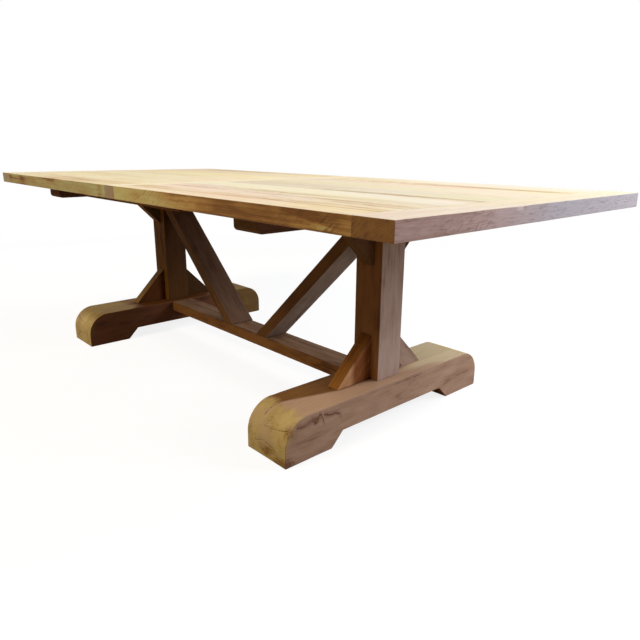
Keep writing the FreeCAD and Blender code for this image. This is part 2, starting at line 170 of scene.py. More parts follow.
class TableColours(bpy.types.PropertyGroup):
    """Colours of the timber and the metal. Several of them hold painted light and shade, as the comments
    beside them say.
    """

    top_pale: colour("Top, pale", "Bleached early wood of the top", 236, 222, 194)
    top_tan: colour("Top, tan", "Late wood and streaks of the top", 214, 188, 150)
    top_heart: colour("Top, heart", "Heartwood bands of the top", 166, 134, 96)
    top_yellow: colour("Top, yellow cast", "Cast of the yellower patches of the top", 255, 255, 242)
    top_pink: colour("Top, pink cast", "Cast of the pinker patches of the top", 255, 248, 246)
    edge_gold: colour("Edge, gold", "Pale wood on the long edges of the top", 172, 150, 96)
    edge_brown: colour("Edge, brown", "Brown heartwood on the long edges of the top", 150, 92, 32)
    edge_heart: colour("Edge, heart", "Dark figure on the edges of the top", 74, 40, 10)
    end_pink: colour("End, pink", "Weathered wood on the end edges of the top", 203, 162, 147)
    # The mauve is partly greyed wood and partly painted bluish glare; the right end board's gradient puts it
    # on the far part of its edge.
    end_mauve: colour("End, mauve", "Greyed wood on the end edges of the top", 185, 180, 188)
    end_dark: colour("End, dark", "Figure on the end edges of the top", 144, 114, 104)
    # The frame's browns are partly the wood's own colour and partly painted shade, the faces they cover lying
    # mostly under the top.
    frame_pale: colour("Frame, pale", "Early wood of the frame", 150, 94, 42)
    frame_tan: colour("Frame, tan", "Late wood of the frame", 117, 65, 25)
    frame_heart: colour("Frame, heart", "Dark streaks of the frame", 72, 37, 13)
    upper_pale: colour("Upper, pale", "Early wood of the frame's upper faces", 156, 116, 74)
    upper_tan: colour("Upper, tan", "Late wood of the frame's upper faces", 116, 74, 36)
    upper_heart: colour("Upper, heart", "Dark streaks of the frame's upper faces", 78, 44, 18)
    # Painted light and shadow: this pale is the lit tip of the lower right front gusset's outward face, and
    # the tan beside the post there is the post's painted shadow.
    gusset_lit_tip: colour("Gusset, pale", "Pale tip of the lower front gusset", 190, 148, 122)
    # Painted light: the back of the feet's upper faces is painted pale, as lit from behind.
    lit_foot_back: colour("Bleached", "Bleached wood on the back of the feet's upper faces", 212, 192, 156)
    # The outward colours are partly weathering and partly painted cool light from the end of the table.
    grey_pale: colour("Weathered, pale", "Early wood of the outward faces of the trestles", 196, 158, 132)
    grey_tan: colour("Weathered, tan", "Late wood of the outward faces of the trestles", 160, 121, 97)
    grey_heart: colour("Weathered, heart", "Dark streaks of the outward faces of the trestles", 112, 74, 55)
    # Painted shade: the inward colours are dark brown for the faces turned inwards, and for the outward faces
    # of the pieces under the top, where little light reaches.
    shadowed_inner_pale: colour("Inner, pale", "Early wood of the inward faces of the trestles", 96, 60, 34)
    shadowed_inner_tan: colour("Inner, tan", "Late wood of the inward faces of the trestles", 73, 42, 21)
    shadowed_inner_heart: colour("Inner, heart", "Dark streaks of the inward faces of the trestles", 46, 24, 10)
    foot_gold: colour("Foot, gold", "Golden wood at the ends of the feet", 206, 181, 122)
    foot_pink: colour("Foot, pink", "Pinker patches at the ends of the feet", 184, 152, 118)
    # Painted shade: this cast darkens the inner part of the feet's upper faces, under the table and beside the
    # posts.
    foot_shaded_upper: colour("Foot, brown", "Cast of the feet's upper faces", 208, 190, 158)
    # Painted shade on the golden wood of the left foot's upper face, under the table.
    gold_left_shadow: colour("Foot, dim", "Cast of the golden wood on the left foot's upper face", 184, 173, 145)
    foot_ochre: colour("Foot, ochre", "Late wood at the ends of the feet", 162, 128, 66)
    # Painted shade on the golden ends where they face inwards.
    gold_inward_shadow: colour("Foot, shaded", "Cast of the golden ends on the inward faces", 142, 128, 102)
    fibre: colour("Fibre", "Cast of the fibres' dark half", 208, 190, 168)
    # In the cracks this dark is partly dirt and partly painted shade of the narrow groove.
    check: colour("Check", "Inside of cracks, knots and screw pockets", 44, 28, 18)
    dowel: colour("Dowel", "Pale wood of the dowels and tongues", 205, 178, 136)
    steel: colour("Steel", "Bright steel of the screws and bolts", 170, 168, 164)


class StageSettings(bpy.types.PropertyGroup):
    """Floor, lamps and camera."""

    lens: FloatProperty(name="Lens", description="Focal length of the camera in millimetres", default=32.204,
                        min=10.0, max=200.0)
    yaw: angle("Yaw", "Turn of the camera about the vertical", 47.4217)
    tilt: angle("Tilt", "Tilt of the camera up from straight down", 73.3825)
    roll: angle("Roll", "Roll of the camera about its own axis", 0.4991)
    eye: FloatVectorProperty(name="Eye", description="Place of the camera", size=3, subtype="TRANSLATION",
                             unit="LENGTH", default=(1.92645, -1.38667, 0.88158))
    key: power("Key", "Power of the lamp behind the table", 70.0)
    end_fill: power("End fill", "Power of the cool lamp off the end", 119.0)
    side_fill: power("Side fill", "Power of the warm lamp off the long side", 205.0)
    far_fill: power("Far fill", "Power of the lamp off the far end", 14.0)
    room: FloatProperty(name="Room light", description="Strength of the even light from all round",
                        default=0.06, min=0.0, max=2.0)
    floor: colour("Floor", "Pale floor", 255, 255, 255)
    floor_bounce: colour("Floor bounce", "Tone with which the floor lights the frame", 178, 170, 160)


def sizes():
    return bpy.context.scene.table_sizes


def colours():
    return bpy.context.scene.table_colours


def stage_settings():
    return bpy.context.scene.stage_settings


def add_object(name, data):
    item = bpy.data.objects.new(name, data)
    bpy.context.scene.collection.objects.link(item)
    return item


# Unevenness

def unit(rows):
    return rows / np.linalg.norm(rows, axis=-1, keepdims=True)


def ripples(points, wavelength, seed, waves=8):
    """Smooth unevenness from -1 to 1: the mean of plane waves in seeded directions, each of about the given
    wavelength."""
    draw = np.random.default_rng(seed)
    ways = unit(draw.normal(size=(waves, 3))) * draw.uniform(0.6, 1.6, (waves, 1))
    ways = ways * (2 * math.pi / wavelength)
    phases = draw.uniform(0, 2 * math.pi, waves)
    return np.clip(np.sin(points @ ways.T + phases).mean(axis=-1) * 2, -1, 1)


def smooth_step(share):
    share = np.clip(share, 0, 1)
    return share * share * (3 - 2 * share)


# Shapes of the timber

def outline(corners, radii, steps, arc_steps=ARC_STEPS):
    """Closed outline through the corners. Each corner is turned by an arc tangent to both its sides, and the
    runs between the arcs are cut into equal steps with a short one beside each arc. Returns the points, their
    outward normals, and the arris share of each: 0 on a run and on wide arcs, up to 1 in the middle of a
    small one."""
    corners = np.array(corners, float)
    count = len(corners)
    radii, steps, arc_steps = (np.broadcast_to(values, count) for values in (radii, steps, arc_steps))
    following = np.roll(corners, -1, axis=0)
    area = (corners[:, 0] * following[:, 1] - corners[:, 1] * following[:, 0]).sum()
    if area < 0:
        corners, radii, arc_steps = corners[::-1], radii[::-1], arc_steps[::-1]
        steps = np.roll(steps[::-1], -1)
    back = unit(np.roll(corners, 1, axis=0) - corners)
    on = unit(np.roll(corners, -1, axis=0) - corners)
    half = np.arccos(np.clip((back * on).sum(axis=1), -1, 1)) / 2
    bulge = np.sign(-back[:, 0] * on[:, 1] + back[:, 1] * on[:, 0])
    inward = unit(back + on)
    sideways = unit(on - back)
    cut = radii / np.tan(half)
    centres = corners + inward * (radii / np.sin(half))[:, None]
    points, normals, arris = [], [], []
    for here in range(count):
        share = np.linspace(-1, 1, arc_steps[here] + 1)
        swing = (share * (math.pi / 2 - half[here]))[:, None]
        ray = sideways[here] * np.sin(swing) - inward[here] * np.cos(swing)
        points.append(centres[here] + ray * radii[here])
        normals.append(ray * bulge[here])
        arris.append((1 - share ** 2) * (radii[here] < 0.01) * (bulge[here] > 0))
        there = (here + 1) % count
        start = points[-1][-1]
        run = corners[there] + back[there] * cut[there] - start
        reach = np.linalg.norm(run)
        beside = min(SUPPORT * 2, reach / 4)
        pieces = max(1, math.ceil((reach - 2 * beside) / steps[here]))
        places = np.linspace(beside / reach, 1 - beside / reach, pieces + 1)[:, None]
        points.append(start + run * places)
        normals.append(np.repeat([[run[1] / reach, -run[0] / reach]], pieces + 1, axis=0))
        arris.append(np.zeros(pieces + 1))
    return np.concatenate(points), np.concatenate(normals), np.concatenate(arris)


def rectangle(low, high, axes, radii, step, arc_steps=ARC_STEPS):
    """Outline of the box from low to high, seen along the last of the axes."""
    left, right = low.dot(axes[0]), high.dot(axes[0])
    bottom, top = low.dot(axes[1]), high.dot(axes[1])
    return outline(((left, bottom), (right, bottom), (right, top), (left, top)), radii, step, arc_steps)


def spaced(low, high, step):
    """Even places from low to high, about a step apart."""
    return np.linspace(low, high, max(2, math.ceil((high - low) / step) + 1))


class Timber:
    """One board: an outline carried along a third axis. At both ends the outline is drawn in by a quarter
    round, and the end is closed. A tenon, where there is one, is the outline scaled down and carried on."""

    def __init__(self, shape, body, rounding, axes, tenon=None):
        flat, outward, arris = shape
        turn = np.linspace(0, math.pi / 2, ARC_STEPS + 1)
        inset = np.concatenate(([rounding + SUPPORT], rounding * (1 - np.sin(turn))))
        rise = np.concatenate(([0.0], rounding * (1 - np.cos(turn))))
        lean = np.concatenate(([1.0], np.cos(turn)))
        start, end = body[0] + rounding + SUPPORT, body[-1] - rounding - SUPPORT
        middle = np.concatenate(([start], body[(body > start) & (body < end)], [end]))
        places = np.concatenate((body[0] + rise, middle, (body[-1] - rise)[::-1]))
        insets = np.concatenate((inset, np.zeros(len(middle)), inset[::-1]))
        leans = np.concatenate((-lean, np.zeros(len(middle)), lean[::-1]))
        rings = flat[None] - outward[None] * insets[:, None, None]
        spread = np.sqrt(1 - np.clip(leans, -1, 1) ** 2)
        edge = np.maximum(arris[None] * spread[:, None],
                          np.sin(2 * np.arccos(np.clip(np.abs(leans), 0, 1)))[:, None])
        normals = [outward[None] * spread[:, None, None], np.repeat(leans[:, None], len(flat), axis=1)]
        if tenon:
            reach, scale = tenon
            small = flat * scale
            rings = np.concatenate(([small, small], rings, [small, small]))
            places = np.concatenate(([body[0] - reach, body[0]], places, [body[-1], body[-1] + reach]))
            edge = np.pad(edge, ((2, 2), (0, 0)))
            normals = [np.pad(normals[0], ((2, 2), (0, 0), (0, 0))), np.pad(normals[1], ((2, 2), (0, 0)))]
        first, second, third = (np.array(axis, float) for axis in axes)
        self.rows, self.columns = rings.shape[:2]
        self.points = (rings[..., :1] * first + rings[..., 1:] * second
                       + places[:, None, None] * third).reshape(-1, 3)
        self.normals = (normals[0][..., :1] * first + normals[0][..., 1:] * second
                        + normals[1][..., None] * third).reshape(-1, 3)
        self.edge = edge.reshape(-1)
        self.check = np.zeros(len(self.points))
        self.turned = np.dot(np.cross(first, second), third) < 0

    def sink(self, depths):
        self.points -= self.normals * depths[:, None]

    def wear(self, depth, ripple, seed):
        """Sinks the arrises by an uneven depth and lets the broad faces ripple, always inwards."""
        slow = 0.5 + 0.5 * ripples(self.points, ARRIS_WAVE, seed)
        chips = smooth_step((ripples(self.points, CHIP_WAVE, seed + 1) - 0.75) / 0.5)
        worn = self.edge * depth * (0.25 + 0.5 * slow ** 2 + 1.2 * chips)
        faces = (1 - self.edge) * ripple * (0.5 + 0.5 * ripples(self.points, FACE_WAVE, seed + 2))
        self.sink(worn + faces)

    def crack(self, route, width, depth):
        """Sinks a groove along a route of points: a bell curve of the distance to the nearest stretch, its
        width uneven and thinning out to both ends."""
        starts, runs = route[:-1], np.diff(route, axis=0)
        along = ((self.points[:, None] - starts) * runs).sum(-1) / (runs ** 2).sum(-1)
        along = np.clip(along, 0, 1)
        gaps = np.linalg.norm(self.points[:, None] - starts - along[..., None] * runs, axis=-1)
        nearest = gaps.argmin(axis=1)
        share = (nearest + np.take_along_axis(along, nearest[:, None], 1)[:, 0]) / len(runs)
        taper = smooth_step(np.minimum(share, 1 - share) * 9)
        uneven = 1 + 0.35 * ripples(self.points, CRACK_WAVE, len(route))
        groove = np.exp(-(gaps.min(axis=1) / (width * uneven)) ** 2) * taper
        self.sink(groove * depth)
        self.check = np.maximum(self.check, groove)

    def dent(self, centre, reach, depth, seed):
        """Sinks a ragged hollow round a centre: deepest inside, with a broken rim."""
        away = np.linalg.norm((self.points - np.array(centre)) / np.array(reach), axis=-1)
        hollow = smooth_step((1.15 - away + 0.35 * ripples(self.points, DENT_WAVE, seed)) / 0.5)
        self.sink(hollow * depth)

    def build(self, name, grain):
        """Mesh object. Its attributes are the arris, end grain and check shares, how far a face looks up, and
        how far along the table, below 0 to the left."""
        rows, columns = self.rows, self.columns
        here = np.arange(rows - 1)[:, None] * columns + np.arange(columns)[None]
        beside = np.arange(rows - 1)[:, None] * columns + np.roll(np.arange(columns), -1)[None]
        quads = np.stack((here, beside, beside + columns, here + columns), axis=-1).reshape(-1, 4)
        faces = quads.tolist()
        faces.append(np.arange(columns)[::-1].tolist())
        faces.append((np.arange(columns) + (rows - 1) * columns).tolist())
        if self.turned:
            faces = [face[::-1] for face in faces]
        mesh = bpy.data.meshes.new(name)
        mesh.from_pydata(self.points, [], faces)
        mesh.shade_smooth()
        end_grain = np.abs(self.normals @ np.array(grain))
        shares = {"arris": self.edge, "end_grain": end_grain, "check": self.check,
                  "up": np.clip(self.normals[:, Z], 0, 1), "endways": self.normals[:, X]}
        for label, values in shares.items():
            mesh.attributes.new(label, "FLOAT", "POINT").data.foreach_set("value", values.astype(np.float32))
        mesh.validate()
        return add_object(name, mesh)


def plain_board(low, high, axes, arris, steps, end, arc_steps=ARC_STEPS):
    """Board that fills the box from low to high: the box's outline, rounded by the arris, carried along the
    last of the axes, with its ends rounded too."""
    shape = rectangle(low, high, axes, arris, steps[0], arc_steps)
    return Timber(shape, spaced(low.dot(axes[2]), high.dot(axes[2]), steps[1]), end, axes)


# Pockets of screws and bolts

def head_places(node):
    """Middle of each fixing's head in a CAD node, and the heads' level: the points on the node's lowest
    level, gathered one head at a time."""
    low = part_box(node)[0]
    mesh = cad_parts[node].data
    points = np.zeros(len(mesh.vertices) * 3, np.float32)
    mesh.vertices.foreach_get("co", points)
    points = points.reshape(-1, 3)
    rim = points[points[:, 2] < low.z + SUPPORT, :2]
    places = []
    while len(rim):
        near = np.linalg.norm(rim - rim[0], axis=1) < HEAD_REACH
        group = rim[near]
        places.append((group.min(axis=0) + group.max(axis=0)) / 2)
        rim = rim[~near]
    return places, float(low.z)


def bore(item, places, radius, low, high):
    """Cuts round pockets from low to high into a piece, at places on the plan."""
    turn = np.linspace(0, 2 * math.pi, POCKET_SIDES, endpoint=False)
    circle = np.stack((np.cos(turn), np.sin(turn)), axis=-1) * radius
    ring = np.arange(POCKET_SIDES)
    on = np.roll(ring, -1)
    points, faces = [], []
    for number, place in enumerate(places):
        start = number * 2 * POCKET_SIDES
        for level in (low, high):
            points.append(np.column_stack((circle + place, np.full(POCKET_SIDES, level))))
        faces += (np.stack((ring, on, on + POCKET_SIDES, ring + POCKET_SIDES), axis=-1) + start).tolist()
        faces += [(ring[::-1] + start).tolist(), (ring + POCKET_SIDES + start).tolist()]
    mesh = bpy.data.meshes.new("pocket_cutter")
    mesh.from_pydata(np.concatenate(points), [], faces)
    cutter = add_object("pocket_cutter", mesh)
    change = item.modifiers.new("pockets", "BOOLEAN")
    change.object = cutter
    change.operation = "DIFFERENCE"
    change.solver = "EXACT"
    bpy.context.view_layer.update()
    shaped = bpy.data.meshes.new_from_object(item.evaluated_get(bpy.context.evaluated_depsgraph_get()))
    item.modifiers.clear()
    item.data = shaped
    shaped.name = item.name
    shaped.set_sharp_from_angle(angle=math.radians(40))
    bpy.data.objects.remove(cutter)
    bpy.data.meshes.remove(mesh)


# Shader nodes

def solid(shade):
    """A colour with its alpha, or a node's output as it is."""
    return shade if isinstance(shade, bpy.types.NodeSocket) else (*shade, 1.0)


class Nodes:
    """Adds nodes to a tree. An input is a number, a colour, a vector or another node's output."""

    def __init__(self, tree):
        self.tree = tree

    def add(self, kind, inputs=None, **settings):
        node = self.tree.nodes.new(kind)
        for key, value in settings.items():
            setattr(node, key, value)
        for key, value in (inputs or {}).items():
            if isinstance(value, bpy.types.NodeSocket):
                self.tree.links.new(value, node.inputs[key])
            else:
                node.inputs[key].default_value = value
        return node

    def math(self, operation, first, second=0.0, clamp=False):
        return self.add("ShaderNodeMath", {0: first, 1: second}, operation=operation,
                        use_clamp=clamp).outputs[0]

    def plus(self, first, second, clamp=False):
        return self.math("ADD", first, second, clamp)

    def minus(self, first, second):
        return self.math("SUBTRACT", first, second)

    def times(self, first, second):
        return self.math("MULTIPLY", first, second)

    def weigh(self, *parts, clamp=False):
        """Sum of parts, each a value and its weight."""
        total = self.times(*parts[0])
        for value, weight in parts[1:]:
            total = self.plus(total, self.times(value, weight), clamp)
        return total

    def swing(self, value, reach):
        """Turns a value from 0 to 1 into one that swings to both sides, over the reach in all."""
        return self.times(self.minus(value, 0.5), reach)

    def vector(self, operation, first, second=(0, 0, 0)):
        node = self.add("ShaderNodeVectorMath", {0: first, 1: second}, operation=operation)
        return node.outputs["Value" if operation in ("LENGTH", "DISTANCE") else "Vector"]

    def mix(self, share, first, second, blend="MIX"):
        return self.add("ShaderNodeMix", {0: share, 6: solid(first), 7: solid(second)}, data_type="RGBA",
                        blend_type=blend).outputs[2]

    def tint(self, shade, cast, share=1.0):
        return self.mix(share, shade, cast, "MULTIPLY")

    def remap(self, value, low, high, to_low=0.0, to_high=1.0):
        inputs = {"Value": value, "From Min": low, "From Max": high, "To Min": to_low, "To Max": to_high}
        return self.add("ShaderNodeMapRange", inputs, interpolation_type="SMOOTHSTEP").outputs[0]

    def noise(self, place, scale, detail=2.0, roughness=0.5):
        inputs = {"Vector": place, "Scale": scale, "Detail": detail, "Roughness": roughness}
        return self.add("ShaderNodeTexNoise", inputs).outputs["Fac"]

    def stretch(self, place, along, across):
        return self.vector("MULTIPLY", place, (along, across, across))

    def mapping(self, place, turn, shift=(0, 0, 0)):
        inputs = {"Vector": place, "Location": shift, "Rotation": turn}
        return self.add("ShaderNodeMapping", inputs, vector_type="POINT").outputs[0]

    def axis(self, place, axis):
        return self.add("ShaderNodeSeparateXYZ", {0: place}).outputs[axis]

    def attribute(self, name):
        return self.add("ShaderNodeAttribute", attribute_name=name).outputs["Fac"]

    def bump(self, height, strength, distance):
        inputs = {"Height": height, "Strength": strength, "Distance": distance}
        return self.add("ShaderNodeBump", inputs).outputs[0]


def new_material(name):
    """Empty material, its nodes, and the place on the object."""
    material = bpy.data.materials.new(name)
    material.use_nodes = True
    material.node_tree.nodes.clear()
    kit = Nodes(material.node_tree)
    return material, kit, kit.add("ShaderNodeTexCoord").outputs["Object"]


# Teak

RING_WIDTH = 0.0055
BUMP_STRENGTH, BUMP_DEPTH = 0.22, 0.0006
MARK_SLANT = math.radians(38)

# Noises of the figure: waves a metre along the grain and across it, detail and roughness
FIGURE_NOISES = {
    "Fuzz": (8.0, 120.0, 2.0, 0.5),
    "Streaks": (1.6, 42.0, 5.0, 0.62),
    "Lines": (2.6, 150.0, 4.0, 0.6),
    "Fibres": (14.0, 520.0, 3.0, 0.6),
    "Pores": (45.0, 900.0, 1.0, 0.5),
    "Blotches": (2.3, 9.0, 3.0, 0.55),
    "Mottle": (9.0, 30.0, 3.0, 0.6),
    "Drift": (1.3, 5.0, 2.0, 0.5),
}
FIGURE_OUTPUTS = ("Rings", "Streaks", "Lines", "Fibres", "Pores", "Blotches", "Mottle", "Drift", "Height")


def figure_group():
    """Wood figure round a pith that runs along X: growth rings that wander, long streaks, fibres, pores and
    slow blotches. Swirl pushes the rings aside round a knot."""
    made = bpy.data.node_groups.get("teak_figure")
    if made:
        return made
    tree = bpy.data.node_groups.new("teak_figure", "ShaderNodeTree")
    for label, kind in (("Place", "NodeSocketVector"), ("Swirl", "NodeSocketFloat"),
                        ("Ring", "NodeSocketFloat")):
        tree.interface.new_socket(label, in_out="INPUT", socket_type=kind)
    for label in FIGURE_OUTPUTS:
        tree.interface.new_socket(label, in_out="OUTPUT", socket_type="NodeSocketFloat")
    kit = Nodes(tree)
    given = kit.add("NodeGroupInput").outputs
    result = kit.add("NodeGroupOutput")
    found = {label: kit.noise(kit.stretch(given["Place"], along, across), 1.0, detail, roughness)
             for label, (along, across, detail, roughness) in FIGURE_NOISES.items()}
    wander = kit.add("ShaderNodeTexNoise", {"Vector": kit.stretch(given["Place"], 1.1, 5.0), "Scale": 1.0,
                                            "Detail": 2.0}).outputs["Color"]
    shift = kit.vector("MULTIPLY", kit.vector("SUBTRACT", wander, (0.5, 0.5, 0.5)), (0.0, 0.07, 0.07))
    bent = kit.vector("ADD", given["Place"], shift)
    radius = kit.math("SQRT", kit.plus(kit.math("POWER", kit.axis(bent, Y), 2.0),
                                       kit.math("POWER", kit.axis(bent, Z), 2.0)))
    radius = kit.plus(radius, kit.swing(found["Fuzz"], 0.002))
    radius = kit.plus(radius, given["Swirl"])
    phase = kit.math("FRACT", kit.math("DIVIDE", radius, given["Ring"]))
    found["Rings"] = kit.times(kit.remap(phase, 0.35, 0.92), kit.remap(phase, 0.93, 1.0, 1.0, 0.0))
    spread = kit.math("DIVIDE", radius, kit.times(given["Ring"], 6.3))
    bands = kit.add("ShaderNodeTexNoise", {"W": spread, "Scale": 1.0, "Detail": 3.0, "Roughness": 0.6},
                    noise_dimensions="1D").outputs["Fac"]
    found["Streaks"] = kit.weigh((found["Streaks"], 0.55), (bands, 0.45))
    found["Pores"] = kit.remap(found["Pores"], 0.62, 0.75)
    found["Height"] = kit.weigh((found["Fibres"], 0.45), (found["Rings"], 0.3), (found["Pores"], -0.5))
    for label in FIGURE_OUTPUTS:
        tree.links.new(found[label], result.inputs[label])
    return tree


def wood_shade(kit, share, shades, depth=0.75):
    """Pale to tan by the share, and on to heartwood where it is highest."""
    pale, tan, heart = shades
    dark = kit.times(kit.remap(share, 0.60, 1.0), depth)
    return kit.mix(dark, kit.mix(share, pale, tan), heart)


def knot_field(kit, place, spot, radius):
    """How far a knot pushes the growth rings aside, and the share of its dark core."""
    away = kit.plus(kit.vector("DISTANCE", place, spot), kit.swing(kit.noise(place, 90.0, 3.0), radius * 1.6))
    push = kit.times(kit.remap(away, 0.0, radius * 5, 1.0, 0.0), radius * 1.2)
    return push, kit.remap(away, radius * 0.3, radius, 1.0, 0.0)


def stain_share(kit, place, mottle, patches):
    """Share of darker wood: the sum of the patches, each fading out from its place with a frayed rim."""
    frayed = kit.plus(kit.noise(kit.stretch(place, 28.0, 210.0), 1.0, 4.0, 0.65), mottle)
    frayed = kit.times(kit.minus(frayed, 1.0), 2.0)
    stain = 0.0
    for spot, reach, strength in patches:
        away = kit.vector("LENGTH", kit.vector("DIVIDE", kit.vector("SUBTRACT", place, spot), reach))
        away = kit.plus(away, frayed)
        stain = kit.plus(stain, kit.times(kit.remap(away, 0.0, 1.6, 1.0, 0.0), strength))
    return stain


def foot_upper(kit, place, above, drift, side):
    """Upper face of a foot, painted with light and shade: its inner part is darkened as painted shade under
    the table and beside the post, a pale strip on its outer part that narrows to the back is painted light
    from outside, and from a start on, which lies further back on the left foot, the back is painted pale as
    light falling from behind."""
    slant = kit.math("MINIMUM", kit.times(kit.plus(kit.axis(place, Y), 0.40), 0.29), 0.060)
    outwards = kit.minus(kit.times(kit.axis(place, X), side), slant)
    outwards = kit.plus(outwards, kit.swing(drift, 0.03))
    strip = kit.times(kit.remap(outwards, 0.664, 0.682), 0.75)
    above = kit.mix(strip, kit.tint(above, colours().foot_shaded_upper), colours().grey_pale)
    start = 0.04 if side > 0 else 0.26
    back = kit.plus(kit.axis(place, Y), kit.minus(drift, 0.5))
    back = kit.times(kit.remap(back, start, start + 0.18), 0.75)
    return kit.mix(back, above, colours().lit_foot_back)


def foot_gold(kit, place, shade, brown, turned_out, side, high, run=0.10):
    """Golden ends of a foot, with a ragged border about a run from the ends. On the upright sides it slants,
    nearer to the end low down. On the left foot the gold reaches further. Painted shade dims the gold on the
    left foot's upper face and on the faces turned inwards."""
    tint = colours()
    left = side < 0
    flank = kit.remap(kit.math("ABSOLUTE", turned_out), 0.5, 0.8)
    ragged = kit.swing(kit.noise(place, 14.0, 3.0), run * 1.4)
    ragged = kit.times(ragged, kit.minus(1.0, kit.times(flank, 0.8)))
    bare = kit.plus(kit.times(kit.minus(high.z, kit.axis(place, Z)), 0.56), 0.03)
    if left:
        bare = kit.minus(bare, kit.times(kit.remap(kit.axis(place, Y), 0.0, 0.2), 0.11))
    reach = kit.plus(kit.math("ABSOLUTE", kit.axis(place, Y)), ragged)
    reach = kit.minus(reach, kit.times(flank, bare))
    if left:
        reach = kit.plus(reach, kit.times(kit.minus(1.0, flank), 0.16))
    gold = kit.remap(reach, high.y - run, high.y - run * 0.5)
    golden = wood_shade(kit, kit.times(brown, 0.9), (tint.foot_gold, tint.foot_ochre, tint.upper_tan))
    rosy = kit.times(kit.remap(kit.noise(place, 11.0, 2.0), 0.50, 0.60), 0.6)
    golden = kit.mix(rosy, golden, tint.foot_pink)
    if left:
        golden = kit.tint(golden, tint.gold_left_shadow, kit.remap(kit.attribute("up"), 0.5, 1.0))
    golden = kit.tint(golden, tint.gold_inward_shadow, kit.remap(turned_out, -0.40, -0.85))
    return kit.mix(gold, shade, golden)


def slanted_marks(kit, place, shade, mottle, marks, dark):
    """Dark slanted strokes on upright faces. A mark is (axis along the edge, middle, reach, strength)."""
    for axis, middle, reach, strength in marks:
        lean = (0, MARK_SLANT, 0) if axis == X else (-MARK_SLANT, 0, 0)
        turned = kit.mapping(place, lean)
        strokes = kit.noise(kit.vector("MULTIPLY", turned, (30.0, 30.0, 260.0)), 1.0, 3.0, 0.6)
        away = kit.math("ABSOLUTE", kit.minus(kit.axis(place, axis), middle))
        mask = kit.times(kit.remap(away, reach * 0.4, reach, 1.0, 0.0), strength)
        mask = kit.times(mask, kit.remap(kit.attribute("up"), 0.2, 0.6, 1.0, 0.0))
        mask = kit.times(mask, kit.remap(mottle, 0.35, 0.60, 0.3, 1.0))
        shade = kit.mix(kit.times(mask, kit.remap(strokes, 0.50, 0.66)), shade, dark)
    return shade


def dark_veins(kit, place, shade, turned_out, veins, dark, darkest):
    """Wavy dark lines on the outward face, each with a soft halo. The shade goes by the distance in height to
    a curve through the vein's points, which are (across the table, up)."""
    for points in veins:
        first, low = (min(values) for values in zip(*points))
        span, rise = (max(values) - min(values) for values in zip(*points))
        along = kit.math("DIVIDE", kit.minus(kit.axis(place, Y), first), span)
        curve = kit.add("ShaderNodeFloatCurve", {"Value": along})
        curve_points = curve.mapping.curves[0].points
        while len(curve_points) < len(points):
            curve_points.new(0.5, 0.5)
        for spot, (across, level) in zip(curve_points, points):
            spot.location = ((across - first) / span, (level - low) / rise)
        curve.mapping.update()
        level = kit.plus(kit.times(curve.outputs[0], rise), low)
        wobble = kit.swing(kit.noise(place, 120.0, 4.0), 0.012)
        away = kit.math("ABSOLUTE", kit.plus(kit.minus(kit.axis(place, Z), level), wobble))
        inside = kit.times(kit.remap(along, 0.0, 0.04), kit.remap(along, 1.0, 0.96))
        inside = kit.times(inside, kit.remap(turned_out, 0.6, 0.9))
        halo = kit.times(kit.remap(away, 0.001, 0.018, 0.40, 0.0), inside)
        line = kit.times(kit.remap(away, 0.0010, 0.0040, 0.80, 0.0), inside)
        line = kit.times(line, kit.remap(kit.noise(place, 45.0, 2.0), 0.38, 0.55, 0.2, 1.0))
        shade = kit.mix(kit.math("MAXIMUM", halo, line), shade, dark)
        shade = kit.mix(kit.times(line, 0.45), shade, darkest)
    return shade


